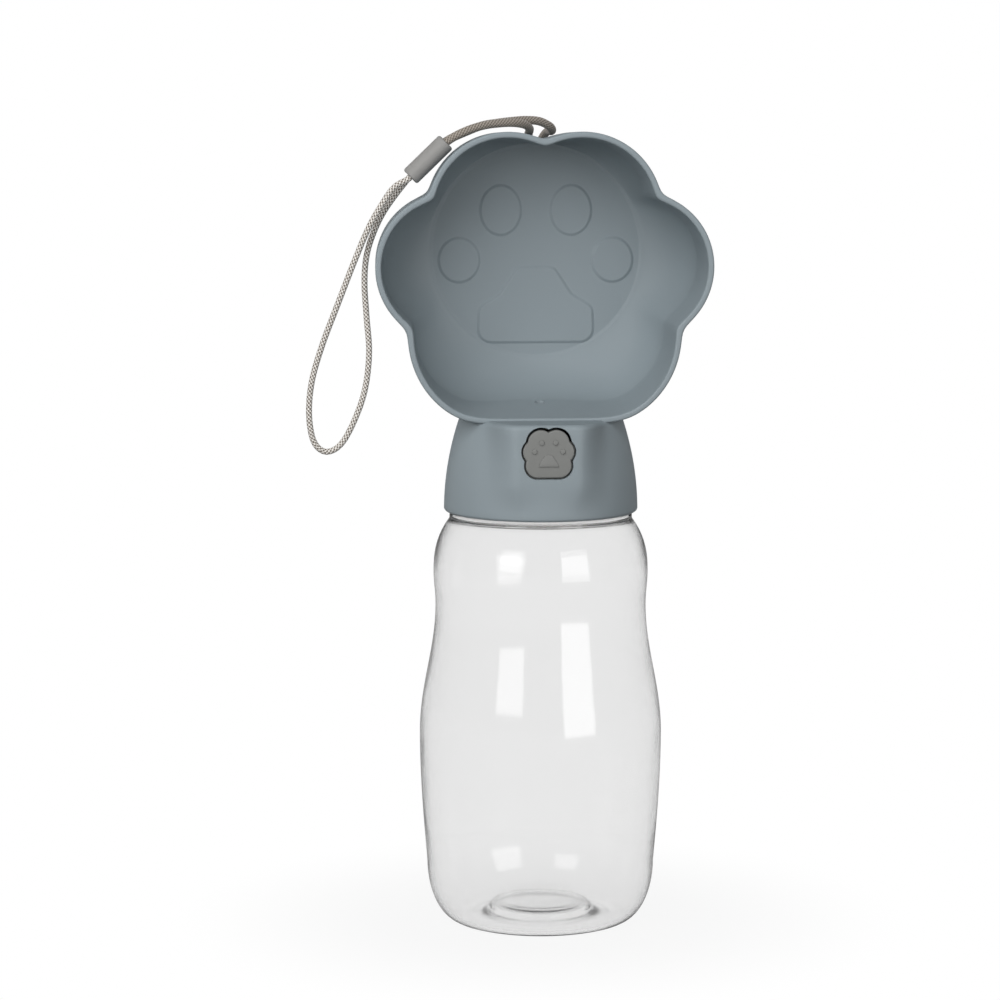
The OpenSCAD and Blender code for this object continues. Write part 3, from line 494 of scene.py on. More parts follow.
for end, side in (("front", -1), ("back", 1)):
    piece = sleeve()
    piece.name = piece.data.name = "sleeve_half_" + end
    choose(piece)
    bpy.ops.object.mode_set(mode="EDIT")
    bpy.ops.mesh.select_all(action="SELECT")
    bpy.ops.mesh.bisect(plane_co=mm(*(SLEEVE_MID + GROOVE * side * PARTING)),
                        plane_no=side * PARTING, use_fill=True, clear_inner=True)
    bpy.ops.object.mode_set(mode="OBJECT")
    apply_modifier(piece, "BEVEL", width=0.18 * MM, segments=2, limit_method="ANGLE",
                   angle_limit=math.radians(50))
    smooth(piece, 40)
    settle(piece, "head", "sleeve_grey", sleeve_abs, "sleeve_" + end)

# %% [markdown]
# ## The head: outlines
#
# Seen from the front, the bowl is a paw: two side lobes, two top lobes, and a broad lower lobe
# with a flat edge. The outline is worked out as a distance from the bowl's centre in each
# direction. A soft maximum of the lobes' circles gives the small rounding in the notches.

# %% Outlines of the bowl
BOWL_Z = 223.1                        # height of the bowl's centre
RIM_Y, FLOOR_Y, WALL_END_Y, BACK_Y = -18, 22, 6, 24.2
LIP, BOWL_WALL = 0.7, 2.0
FLOOR_R, FLOOR_STEP, STEP_WIDE, BACK_R, BACK_ROUND = 35.4, 0.5, 1.6, 37.1, 1.4
WALL_DRAFT, SHELF_RISE = 0.9, 2.6
SIDE_LOBE, TOP_LOBE, LOW_LOBE = (31, -3, 24.4), (12.1, 14.7, 26.4), (14.4, -25.3, 30.4)
FLAT_DROP = 54.7
NOTCH, CORNER, SMALL_NOTCH = 36, -40, 60      # powers of the soft maximum: a higher one is sharper


def ease(t):
    """Goes softly from 0 to 1."""
    return (1 - math.cos(math.pi * t)) / 2


def soft_max(lengths, p):
    """Soft maximum of positive lengths, or soft minimum where p is negative."""
    return sum(v ** p for v in lengths) ** (1 / p)


def to_circle(dx, dz, x, z, r):
    """Distance from the middle to a circle's far side, in a direction."""
    along = dx * x + dz * z
    q = r * r - x * x - z * z + along * along
    return 0.001 if q < 0 or along + math.sqrt(q) < 0.001 else along + math.sqrt(q)


def lobes(dx, dz, lobe, grow):
    """Distances to a lobe and to its mirror image."""
    return [to_circle(dx, dz, s * lobe[0], lobe[1], lobe[2] + grow) for s in (-1, 1)]


def paw_radius(dx, dz, grow):
    """Distance from the bowl's centre to the paw outline, in a direction."""
    drop = LOW_LOBE[2] + grow - LOW_LOBE[1]
    level = 0 if dz > -0.05 or abs(dx / dz) * drop > LOW_LOBE[0] else -drop / dz
    low = max(lobes(dx, dz, LOW_LOBE, grow) + [level])
    flat = 1000 if dz > -0.2 else (FLAT_DROP + grow) / -dz
    return soft_max([max(lobes(dx, dz, SIDE_LOBE, grow)), soft_max([low, flat], CORNER),
                     soft_max(lobes(dx, dz, TOP_LOBE, grow), NOTCH)], NOTCH)


def bowl_ring(y, grow, lean=0.0, share=0.0, round_r=0.0):
    """The paw outline at a depth, drawn towards a circle by a share."""
    ring = []
    for dx, dz in around(240):
        wall = paw_radius(dx, dz, grow) - lean * (WALL_DRAFT + SHELF_RISE * max(0, -dz) ** 3)
        r = wall + (round_r - wall) * share
        ring.append((r * dx, y, BOWL_Z + r * dz))
    return ring


def turn_rings(end_y, grow, round_r):
    """The wall turns into the floor on a part of an ellipse, between two of its angles."""
    start, end, steps = 12, 70, 18
    (s0, c0), (s1, c1) = arc(1, start, end)
    return [bowl_ring(WALL_END_Y + (end_y - WALL_END_Y) * (s - s0) / (s1 - s0), grow, 1,
                      (c0 - c) / (c0 - c1), round_r) for s, c in arc(steps, start, end)]


def wall_rings(grow):
    """The straight part of the wall, from the rim's rounding to where it starts to turn."""
    return [bowl_ring(RIM_Y + LIP + (WALL_END_Y - RIM_Y - LIP) * k / 6, grow, k / 6)
            for k in range(1, 6)]


def bowl_outside():
    """The bowl's outside as a closed shape, with a rounded rim and back edge."""
    rings = [bowl_ring(RIM_Y + LIP * (1 - c), -LIP * (1 - s)) for s, c in arc(5)]
    rings += wall_rings(0) + turn_rings(BACK_Y - BACK_ROUND, 0, BACK_R)
    rings += [bowl_ring(BACK_Y - BACK_ROUND * (1 - s), 0, 1, 1, BACK_R - BACK_ROUND * (1 - c))
              for s, c in arc(5)[1:]]
    return loft("bowl_outside", rings)


def bowl_inside():
    """The hollow of the bowl, which reaches out past the rim. A soft step leads to its round floor."""
    rings = [bowl_ring(RIM_Y - 1, LIP - BOWL_WALL)]
    rings += [bowl_ring(RIM_Y + LIP * (1 - c), LIP * (1 - s) - BOWL_WALL) for s, c in arc(5)]
    step_r = FLOOR_R + STEP_WIDE / 2
    rings += wall_rings(-BOWL_WALL) + turn_rings(FLOOR_Y - FLOOR_STEP, -BOWL_WALL, step_r)
    rings += [bowl_ring(FLOOR_Y - FLOOR_STEP * (1 - ease(k / 6)), 0, 0, 1, step_r - STEP_WIDE * k / 6)
              for k in range(1, 7)]
    return loft("bowl_inside", rings)


# %% [markdown]
# ## The head: collar
#
# The collar is a low cone with a flat panel at the front, whose edges soften into the cone and
# fade out towards the bottom. Behind the bowl the collar closes in a dome. Both are lofts again,
# with a rounded lower edge, because an edge that catches light is what makes a moulding look real.

# %% Outlines of the collar
COLLAR_Z, COLLAR_H, COLLAR_R, COLLAR_TAPER, COLLAR_WALL = 138.3, 31.8, 32.2, 5.4, 2.2
COLLAR_TOP, COLLAR_ROUND, COLLAR_FOOT = COLLAR_Z + COLLAR_H, 1.8, 1.2
PANEL_Y, PANEL_EDGE, PANEL_SLOPE = 32.3, 21, 12.5   # half its width, of which so much is a soft slope
PANEL_LOW, PANEL_FADE = 1.5, 11       # where it starts over the collar's foot, and fades in


def collar_radius(z):
    """Radius of the collar's cone at a height."""
    return COLLAR_R - COLLAR_TAPER * ((z - COLLAR_Z) / COLLAR_H) ** 2


def collar_ring(z, inset):
    """The collar's outline at a height: a circle. Higher up, a flat panel stands out at the front."""
    cone, ring = collar_radius(z) - inset, []
    fade = ease(min(max((z - COLLAR_Z - PANEL_LOW) / PANEL_FADE, 0), 1))
    for y, x in around(144):
        r = cone
        if -y > 0.3:
            share = fade * ease(min(max((PANEL_EDGE - inset - cone * abs(x)) / PANEL_SLOPE, 0), 1))
            r += share * max((PANEL_Y - inset) * min(1 / -y, 1.05) - cone, 0)
        ring.append((r * x, r * y, z))
    return ring


def collar_outside():
    """The collar's outside, with a rounded lower edge."""
    rings = [collar_ring(COLLAR_Z + COLLAR_FOOT * (1 - c), COLLAR_FOOT * (1 - s)) for s, c in arc(6)]
    straight = COLLAR_H - COLLAR_FOOT - COLLAR_ROUND
    rings += [collar_ring(COLLAR_Z + COLLAR_FOOT + straight * k / 16, 0) for k in range(1, 17)]
    rings += [collar_ring(COLLAR_TOP - COLLAR_ROUND * (1 - s), COLLAR_ROUND * (1 - c))
              for s, c in arc(6)[1:]]
    return loft("collar_outside", rings)


DOME_LOW, DOME_RISE, DOME_FRONT = 6, 21, -15


def fairing(inset):
    """The dome behind the bowl, or the hollow in it: ovals that get narrower and move back."""
    rings = []
    for k in range(17):
        t = k / 16
        z = COLLAR_TOP - DOME_LOW + (DOME_RISE - inset) * math.sin(math.pi / 2 * t)
        rear, front = collar_radius(z) - inset - 0.15, DOME_FRONT + inset + 14 * t * t
        b = (rear - front) / 2
        a = math.sqrt(rear * b) * math.cos(math.radians(86) * t)
        rings.append([(a * c, (rear + front) / 2 + b * s, z) for s, c in around(96)])
    return loft("fairing", rings)


# %% [markdown]
# ## The head: button opening and raised paw
#
# The button's outline is a small paw of the same kind. The opening for it has a fine chamfer at
# the panel, which draws the dark line round the button. In the bowl's floor a paw stands out by
# 0.55 mm. Its pads are lofted with soft edges, because in the photograph they show only as a thin
# light line on the side that faces the light.

# %% Button outline and pads
VALVE_Z = 160.8                       # height of the button's middle and of the valve behind it
BUTTON_SIDE, BUTTON_TOP, BUTTON_LOW = (4.4, 0.6, 4.5), (2.4, 3.6, 5), (3.5, -3.9, 4.5)
EARS_TOP = 0.42                       # cosine of the direction from the button's middle


def button_ring(y, grow, ears=None, low_top=0.0):
    """The button's outline at a depth. Below the ears' top it may stand out further."""
    ring = []
    for dx, dz in around(120):
        reach = grow - low_top * max(0, dz) ** 2
        if ears is not None and dz < EARS_TOP:
            reach = ears
        low = BUTTON_LOW[2] + reach - BUTTON_LOW[1]
        level = 0 if dz > -0.05 or abs(dx / dz) * low > BUTTON_LOW[0] else -low / dz
        r = soft_max([max(lobes(dx, dz, BUTTON_SIDE, reach)), max(lobes(dx, dz, BUTTON_TOP, reach)),
                      max(lobes(dx, dz, BUTTON_LOW, reach) + [level])], SMALL_NOTCH)
        ring.append((r * dx, y, VALVE_Z + r * dz))
    return ring


def ellipse(x, z, half_x, half_z, y, inset):
    """An oval outline on the bowl's floor."""
    return [(x + (half_x - inset) * s, y, BOWL_Z + z + (half_z - inset) * c) for s, c in around(64)]


def hull_radius(circles, dx, dz):
    """Distance from the large pad's middle to the hull of some circles, in a direction."""
    dots = [(x + r * s, z - PAD_MIDDLE + r * c) for x, z, r in circles for s, c in around(32)]
    hull = [Vector(dots[i]) for i in convex_hull_2d(dots)]
    best = 0
    for a, b in zip(hull, hull[1:] + hull[:1]):
        edge = b - a
        bottom = dx * edge.y - dz * edge.x
        if abs(bottom) > 1e-9:
            far = (a.x * edge.y - a.y * edge.x) / bottom
            at = (a.x * dz - a.y * dx) / bottom
            if far > 0 and -1e-6 <= at <= 1 + 1e-6:
                best = max(best, far)
    return best


PAD_LOWER = [(15, -26.3, 4.5), (15.8, -20.8, 3.5), (9.5, -15, 1.8)]
PAD_UPPER, PAD_MIDDLE = [(4.6, -8.4, 3), (10, -14.9, 2)], -18
PAD_UP, PAD_SLOPE = 0.55, 1.2         # height of the pads, and width of their soft edges


def pad_ring(y, inset):
    """The large pad's outline: a broad lower part with sloping shoulders, and a narrower top."""
    ring = []
    parts = [[(s * x, z, r - inset) for x, z, r in part for s in (-1, 1)]
             for part in (PAD_LOWER, PAD_UPPER)]
    for dx, dz in around(160):
        r = soft_max([max(hull_radius(part, dx, dz), 0.1) for part in parts], SMALL_NOTCH)
        ring.append((r * dx, y, BOWL_Z + PAD_MIDDLE + r * dz))
    return ring


TOES = ((11.8, 13.7, 6.9, 8.4), (25.8, -3, 6.9, 7.5))      # middle and half sizes, right side
PAD_STEPS = [(-0.6, -0.7), (-0.02, -0.5)]
PAD_STEPS += [(PAD_UP * ease(k / 8), -0.5 + PAD_SLOPE * k / 8) for k in range(1, 9)]
pads = [loft("toe", [ellipse(side * x, z, half_x, half_z, FLOOR_Y - up, inset)
                     for up, inset in PAD_STEPS])
        for x, z, half_x, half_z in TOES for side in (-1, 1)]
pads.append(loft("pad", [pad_ring(FLOOR_Y - up, inset) for up, inset in PAD_STEPS]))
print("raised pads:", len(pads))

# %% [markdown]
# ## The head: putting it together
#
# The solids are joined and cut in the order in which a mould maker thinks: collar and dome, then
# the space inside them, then the bowl, the boss for the water way and the eyelet, and last the
# bowl's hollow and the openings. The exact solver is used, because the fast one leaves holes
# where surfaces nearly touch. Under the raised pads it leaves a few faces inside the wall, not
# the same ones on each run. No view shows them, but the mesh is not a clean closed solid there.

# %% Small solids for the head
def cylinder(name, radius, start, end, axis="Z", x=0.0, y=0.0, z=0.0, count=64):
    """A cylinder between two places along an axis."""
    clear_selection()
    middle, long = (start + end) / 2, end - start
    where = {"X": (middle, y, z), "Y": (x, middle, z), "Z": (x, y, middle)}[axis]
    tip = {"X": (0, math.pi / 2, 0), "Y": (math.pi / 2, 0, 0), "Z": (0, 0, 0)}[axis]
    bpy.ops.mesh.primitive_cylinder_add(vertices=count, radius=radius * MM, depth=long * MM,
                                        location=mm(*where), rotation=tip)
    piece = bpy.context.object
    piece.name = piece.data.name = name
    bpy.ops.object.transform_apply(location=True, rotation=True, scale=True)
    return piece


def block(name, low, high):
    """A box between two corners."""
    clear_selection()
    low, high = Vector(low), Vector(high)
    bpy.ops.mesh.primitive_cube_add(size=1, location=(low + high) / 2 * MM)
    piece = bpy.context.object
    piece.name = piece.data.name = name
    piece.scale = (high - low) * MM
    bpy.ops.object.transform_apply(location=True, rotation=True, scale=True)
    return piece


def joined(name, *parts):
    """Several separate shapes as one piece."""
    clear_selection()
    for part in parts:
        part.select_set(True)
    bpy.context.view_layer.objects.active = parts[0]
    bpy.ops.object.join()
    piece = bpy.context.object
    piece.name = piece.data.name = name
    return piece


EYELET_Y, EYELET_Z, EYELET_W, EAR_T, EAR_R, EYELET_R = 29.2, 256.6, 13, 2.8, 2.6, 1.5


def eyelet():
    """The bar that holds the strap, between two ears on the bowl's back."""
    ears = []
    for side in (-1, 1):
        x = side * (EYELET_W + EAR_T) / 2
        outline = [(EYELET_Y + EAR_R * s, EYELET_Z + EAR_R * c) for s, c in arc(12, -10, 150)]
        outline += [(BACK_Y - 0.5, EYELET_Z - 6.5), (BACK_Y - 0.5, EYELET_Z + 2.5)]
        ears.append(loft("ear", [[(x + EAR_T / 2 * t, y, z) for y, z in outline] for t in (-1, 1)]))
        apply_modifier(ears[-1], "BEVEL", width=0.4 * MM, segments=3, limit_method="ANGLE")
    piece = joined("eyelet", *ears)
    reach = (EYELET_W + EAR_T) / 2
    combine(piece, cylinder("bar", EYELET_R, -reach, reach, "X", y=EYELET_Y, z=EYELET_Z, count=48))
    return piece


# %% The head as one moulding
SPOUT_R, BOSS_Z, SPOUT_TOP, OUTLET_Y, OUTLET_R = 2.6, 170.0, 172.1, 3.4, 1.7
DECK_TOP, INSERT_R, LEDGE_R, LEDGE_WIDE, LEDGE_GAP = 150.7, 28.7, 34, 2.4, 10.2
FIT = 0.15                            # room round the valve's spout
PANEL_BACK = -20.8                    # the button's opening reaches to here
LARGE_FACE = 50                       # in square millimetres

head = collar_outside()
head.name = head.data.name = "head_moulding"
combine(head, fairing(0))
heights = (COLLAR_Z - 1, COLLAR_Z, 145.7, 153.1, 160.5, COLLAR_TOP - COLLAR_WALL)
space = loft("space", [collar_ring(z, COLLAR_WALL) for z in heights])
# the ledge that the insert's deck bears on, with a gap for the valve
ledge = cylinder("ledge", LEDGE_R, DECK_TOP + 0.1, DECK_TOP + 1.9, count=96)
under, over = DECK_TOP - 1, DECK_TOP + 3
cut(ledge, cylinder("ledge_bore", INSERT_R - LEDGE_WIDE, under, over, count=96))
cut(ledge, block("ledge_gap", (-LEDGE_GAP, -40, under), (LEDGE_GAP, 0, over)))
cut(space, ledge)
cut(head, space)
cut(head, fairing(COLLAR_WALL))
combine(head, bowl_outside())
combine(head, cylinder("boss", SPOUT_R + 3, BOSS_Z, BOSS_Z + 6, y=OUTLET_Y))
combine(head, eyelet())
cut(head, bowl_inside())
way = [(-33.3, 0.15), (-32.35, 0.15), (-32.2, 0.05), (-32.05, 0), (PANEL_BACK, 0)]
cut(head, loft("button_way", [button_ring(y, grow) for y, grow in way]))
ear_room = loft("ear_room", [button_ring(y, 0, ears=1.3) for y in (-30.1, PANEL_BACK)])
cut(head, ear_room)
cut(head, cylinder("spout_room", SPOUT_R + FIT, BOSS_Z - 1, SPOUT_TOP + FIT, y=OUTLET_Y))
cut(head, cylinder("outlet", OUTLET_R, BOSS_Z - 1, BOSS_Z + 11, y=OUTLET_Y))
combine(head, joined("paw", *pads))
smooth(head, 32)
for face in head.data.polygons:       # the bowl's floor and the pads are flat, and shade as flat
    if face.area > LARGE_FACE * MM * MM:
        face.use_smooth = False
settle(head, "head", "grey_shell", head_abs, "head_shell")

# %% [markdown]
# ## The button
#
# The button is a warmer grey than the head, moulded in one piece: a paw-shaped plate with a soft
# edge, raised dots and a pad on its face, ears that stop it behind the panel, and a hub that
# grips the valve's stem.

# %% Button
BUTTON_FACE, BUTTON_BACK, EAR, BUTTON_ROUND = -31.9, -28.6, 0.9, 0.5
GAP, LOW_TOP = 0.5, 0.45              # the gap round the button, and how much wider it is at the top
HUB_R, HUB_LONG, STEM_R, STEM_TIP = 3.4, 3.6, 2.02, -30.35


def small_pad_ring(y, inset):
    """The small pad's outline on the button: a trapezoid with sloping shoulders."""
    shape = [(-3.2, -4.3), (-1.6, -4.25), (0, -4.25), (1.6, -4.25), (3.2, -4.3), (2.9, -3.2),
             (1.3, -0.7), (0.6, -0.35), (-0.6, -0.35), (-1.3, -0.7), (-2.9, -3.2)]
    middle = Vector((0, -2))
    ring = []
    for point in shape:
        out = Vector(point) - middle
        out = out * max(0.2, 1 - inset / out.length)
        ring.append((middle.x + out.x, y, VALVE_Z + middle.y + out.y))
    return ring


def dot_ring(x, z, y, radius):
    """The outline of one of the button's dots."""
    return [(x + radius * s, y, VALVE_Z + z + radius * c) for s, c in around(32)]


steps = [(BUTTON_FACE + BUTTON_ROUND * (1 - c), -GAP - BUTTON_ROUND * (1 - s)) for s, c in arc(5)]
rings = [button_ring(y, grow, low_top=LOW_TOP) for y, grow in steps + [(-29.4, -GAP)]]
rings += [button_ring(y, -GAP, ears, LOW_TOP)
          for y, ears in ((-29.3, EAR - 0.2), (-29.1, EAR), (BUTTON_BACK, EAR))]
button = loft("push_button", rings)
combine(button, cylinder("hub", HUB_R, BUTTON_BACK - 0.5, BUTTON_BACK + HUB_LONG, "Y", z=VALVE_Z))
cut(button, cylinder("stem_hole", STEM_R, STEM_TIP, BUTTON_BACK + 6, "Y", z=VALVE_Z, count=48))
DOT_R, RELIEF = 0.85, [(-0.2, 0), (0.25, 0), (0.4, 0.1), (0.45, 0.3)]
marks = [loft("dot", [dot_ring(x, z, BUTTON_FACE - up, DOT_R - inset) for up, inset in RELIEF])
         for x, z in ((-2.25, 3.6), (2.25, 3.6), (-4.6, 0.7), (4.6, 0.7))]
marks.append(loft("small_pad", [small_pad_ring(BUTTON_FACE - up, inset) for up, inset in RELIEF]))
combine(button, joined("marks", *marks))
smooth(button, 35)
settle(button, "button", "button_grey", button_abs, "button")

# %% [markdown]
# ## The bottle
#
# The bottle is clear, blow-moulded, with a push-up in its base and a waist that a hand finds.
# Clear things are built with their real wall, inside and outside, because the light bends at both
# surfaces. The half section is spun about the axis, and the neck's thread is a small trapezoid
# lofted up round the neck.

# %% Half section of the bottle
SHOULDER_H, SHOULDER_R, BULGE_H, BULGE_R, WAIST_H, WAIST_R = 137.6, 30.4, 118, 35.7, 107.3, 35.05
BELLY_H, BELLY_R, HEEL_H, HEEL_R, FOOT_R = 63.8, 40.4, 20, 38, 27.5
PUSHUP_R, PUSHUP_H, WALL, NECK_R, NECK_TOP, NECK_WALL = 16.4, 4.4, 1.4, 24.6, 147.3, 2
SHOULDER_TOP = SHOULDER_H - 1.9       # where the side ends and the shoulder's round edge begins
THINNING = 0.45                       # share of the wall's thickness that is lost at the shoulder


def side_radius(z):
    """Outer radius of the bottle's side at a height."""
    if z < BELLY_H:
        return HEEL_R + (BELLY_R - HEEL_R) * math.sin(math.pi / 2 * (z - HEEL_H) / (BELLY_H - HEEL_H))
    if z < WAIST_H:
        return BELLY_R + (WAIST_R - BELLY_R) * ease((z - BELLY_H) / (WAIST_H - BELLY_H))
    if z < BULGE_H:
        return WAIST_R + (BULGE_R - WAIST_R) * ease((z - WAIST_H) / (BULGE_H - WAIST_H))
    return SHOULDER_R + (BULGE_R - SHOULDER_R) * (1 - ((z - BULGE_H) / (SHOULDER_TOP - BULGE_H)) ** 2.5)


def half_section(wall):
    """From the foot up to the shoulder, moved in by the wall, which gets thinner near the top."""
    low = [(FOOT_R + (HEEL_R - FOOT_R - wall) * s, HEEL_H - (HEEL_H - wall) * c)
           for s, c in arc(14)[:-1]]
    side = []
    for z in (HEEL_H + (SHOULDER_TOP - HEEL_H) * k / 60 for k in range(61)):
        thinner = THINNING * ease(max(0, (z - BULGE_H) / (SHOULDER_TOP - BULGE_H)))
        side.append((side_radius(z) - wall * (1 - thinner), z))
    return low + side


def moved(radius, height, *points):
    """Points of the half section, given from a place on it."""
    return [(radius + r, height + z) for r, z in points]


outside = [(0, PUSHUP_H)]
outside += moved(PUSHUP_R, PUSHUP_H, (-5, 0), (-2, -0.05), (-1.1, -0.3), (-0.7, -0.8))
outside += moved(PUSHUP_R, 0, (-0.5, 2.6), (0, 2.1), (1, 1.7))
outside += moved(FOOT_R, 0, (-7, 0.8), (-5, 0.25), (-3.4, 0)) + half_section(0)
outside += moved(SHOULDER_R, SHOULDER_H, (-0.05, -0.5), (-0.45, -0.08), (-1, 0))
outside += moved(NECK_R, SHOULDER_H, (0.5, 0), (0.1, 0.15), (0, 0.6))
outside += moved(NECK_R, NECK_TOP, (0, -0.4), (-0.12, -0.1), (-0.4, 0))
inside = [(0, PUSHUP_H + WALL)]
inside += moved(PUSHUP_R, PUSHUP_H + WALL,
                (-5, 0), (-1.4, -0.1), (-0.2, -0.5), (0.5, -1.3), (1.2, -2.1))
inside += moved(FOOT_R, WALL, (-6.4, 0.8), (-4, 0.2)) + half_section(WALL)
inside += moved(SHOULDER_R, SHOULDER_H, (-1.1, -1.3), (-1.8, -0.8))
inside += moved(NECK_R - NECK_WALL, SHOULDER_H, (0.9, -0.8), (0.2, -0.5), (0, 0.2))
inside += moved(NECK_R - NECK_WALL, NECK_TOP, (0, -0.4), (0.12, -0.1), (0.4, 0))
bottle = turned("clear_bottle_shell", outside + inside[::-1], 128)

# %% Threads
PITCH, THREAD_STEPS, RUN_OUT = 4.0, 64, 16    # of the 64 steps in a turn, 16 fade out at each end


def thread(name, start_z, turns, root, crest, width):
    """A thread ridge: a small trapezoid wound up about the axis, thinning out at both ends."""
    count, rings = int(turns * THREAD_STEPS), []
    for i in range(count + 1):
        turn = 2 * math.pi * i / THREAD_STEPS
        fade = min(1, i / RUN_OUT, (count - i) / RUN_OUT)
        tip, z = root + (crest - root) * max(fade, 0.12), start_z + PITCH * i / THREAD_STEPS
        half = width / 2 * (0.35 + 0.65 * fade)
        outline = [(root, -half), (tip, -half * 0.45), (tip, half * 0.45), (root, half)]
        rings.append([(r * math.cos(turn), r * math.sin(turn), z + up) for r, up in outline])
    return loft(name, rings)


combine(bottle, thread("thread", start_z=139.8, turns=1.35, root=NECK_R - 0.3, crest=NECK_R + 1.4,
                       width=1.9))
smooth(bottle, 40)

# %% [markdown]
# The plastic is clear copolyester. It bends light a little more than water does, and has a glossy
# surface with long, slow waves from blow moulding, which give the window-like highlights their
# soft uneven edges.

# %% Clear bottle plastic
clear = new_material("clear_copolyester_blown")
place = add(clear, "ShaderNodeTexCoord")
waves = add(clear, "ShaderNodeTexNoise", {
    "Vector": place.outputs["Object"], "Scale": 55.0, "Detail": 1.5, "Roughness": 0.4})
bump = add(clear, "ShaderNodeBump", {
    "Strength": 0.25, "Distance": 0.5 * MM, "Height": waves.outputs["Fac"]})
shader = add(clear, "ShaderNodeBsdfPrincipled", {
    "Base Color": linear("#f5f5f5"), "Roughness": 0.08, "IOR": 1.54, "Transmission Weight": 1.0,
    "Normal": bump.outputs[0]})
show(clear, shader)
settle(bottle, "bottle", "clear_bottle", clear, "bottle")

# %% [markdown]
# ## Inside the head
#
# The insert, the valve and the seals can only be seen when the head is off, or through the
# button's opening. Their solids have the right shapes, so they keep them and get their finishes:
# natural acetal, silicone, black rubber and stainless steel. The spring and the screws are built
# again, because wound wire and drive slots need more than a plain solid has. The spring stands
# between the valve body and the button.

# %% Finishes for the hidden parts
silicone = moulded("silicone_translucent", "#d5dada", 0.42, ior=1.41, grain_mm=0.6, **{
    "Transmission Weight": 0.35, "Subsurface Weight": 0.2, "Subsurface Scale": 0.001})
rubber = moulded("nitrile_rubber_black", "#232326", 0.55, ior=1.52)


def steel(name, colour, roughness, line_mm, stretch):
    """Stainless steel with fine lines: drawn along the wire, or turned round the rod."""
    material = new_material(name)
    place = add(material, "ShaderNodeTexCoord")
    aim = add(material, "ShaderNodeMapping", {"Vector": place.outputs["Object"], "Scale": stretch})
    lines = add(material, "ShaderNodeTexNoise", {
        "Vector": aim.outputs[0], "Scale": 1 / (line_mm * MM), "Detail": 2.0})
    gloss = add(material, "ShaderNodeMapRange", {
        "Value": lines.outputs["Fac"], "From Min": 0.3, "From Max": 0.7,
        "To Min": roughness - 0.06, "To Max": roughness + 0.08})
    bump = add(material, "ShaderNodeBump", {
        "Strength": 0.3, "Distance": 0.02 * MM, "Height": lines.outputs["Fac"]})
    shader = add(material, "ShaderNodeBsdfPrincipled", {
        "Base Color": linear(colour), "Metallic": 1.0, "Roughness": gloss.outputs[0],
        "Normal": bump.outputs[0]})
    show(material, shader)
    return material


turned_steel = steel("stainless_turned", "#c6c8cb", 0.26, 0.25, (0.2, 1, 0.2))
spring_steel = steel("stainless_drawn_wire", "#bcbec2", 0.3, 0.3, (1, 1, 1))
for finish, names in (
        (natural_pom, ("inner_cap", "valve_body", "gland_bush", "end_plug", "poppet_disc")),
        (silicone, ("neck_gasket", "outlet_seal", "poppet_seal")),
        (rubber, ("stem_o_ring", "end_plug_o_ring")),
        (turned_steel, ("valve_stem", "stem_clip"))):
    for name in names:
        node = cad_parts[name]
        node.data.materials.clear()
        node.data.materials.append(finish)
    print(finish.name, "on", ", ".join(names))

# %% The return spring
WIRE_R, SPRING_R, TURNS, SPRING_FRONT, SPRING_REAR, END_PITCH = 0.35, 4.6, 7, -28.2, -16.4, 1.15
SPRING_LONG, PRESS = SPRING_REAR - SPRING_FRONT, 3      # its length at rest, and the button's travel


def spring_rise(turn):
    """How far the wire has travelled along the spring's axis, with closed end turns."""
    if turn < 1:
        return END_PITCH * turn
    if turn > TURNS - 1:
        return SPRING_LONG - END_PITCH * (TURNS - turn)
    return END_PITCH + (SPRING_LONG - 2 * END_PITCH) / (TURNS - 2) * (turn - 1)


rings = []
for turn in (i / 48 for i in range(TURNS * 48 + 1)):
    angle, rise = 2 * math.pi * turn, spring_rise(turn)
    rings.append([((SPRING_R + WIRE_R * c) * math.cos(angle), SPRING_FRONT + rise + WIRE_R * s,
                   VALVE_Z + (SPRING_R + WIRE_R * c) * math.sin(angle)) for s, c in around(12)])
spring = loft("wound_spring", rings)
smooth(spring, 60)
settle(spring, "head", "steel", spring_steel, "return_spring")
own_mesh(spring)

# %% The valve's screws
SCREW_X, SCREW_Y, SCREW_Z = 11, 5, 156.1      # the middle of the head's underside
CROSS = ((0.35, 1.5), (1.5, 0.35))    # half sizes of the two slots
SCREW_PROFILE = [(0.001, 1.5), (1.3, 1.42), (1.9, 1.15), (2.4, 0.6), (2.5, 0.1), (2.4, 0),
                 (1.2, 0), (1.2, -4.4), (0.8, -4.9), (0.001, -4.9)]
screw_parts = []
for x in (-SCREW_X, SCREW_X):
    screw = turned("screw", [(r, SCREW_Z + up) for r, up in SCREW_PROFILE], 48)
    bpy.ops.object.mode_set(mode="EDIT")
    bpy.ops.mesh.select_all(action="SELECT")
    bpy.ops.transform.translate(value=mm(x, SCREW_Y, 0))
    bpy.ops.object.mode_set(mode="OBJECT")
    for wide, deep in CROSS:
        cut(screw, block("slot", (x - wide, SCREW_Y - deep, SCREW_Z + 0.7),
                             (x + wide, SCREW_Y + deep, SCREW_Z + 2)))
    screw_parts.append(screw)
screws = joined("pan_head_screws", *screw_parts)
smooth(screws, 35)
settle(screws, "head", "steel", turned_steel, "valve_screws")

# %% The insert's thread
insert_thread = thread("insert_thread", start_z=142, turns=1.2, root=26.9, crest=25.1, width=1.5)
smooth(insert_thread, 40)
settle(insert_thread, "head", "natural_plastic", natural_pom)

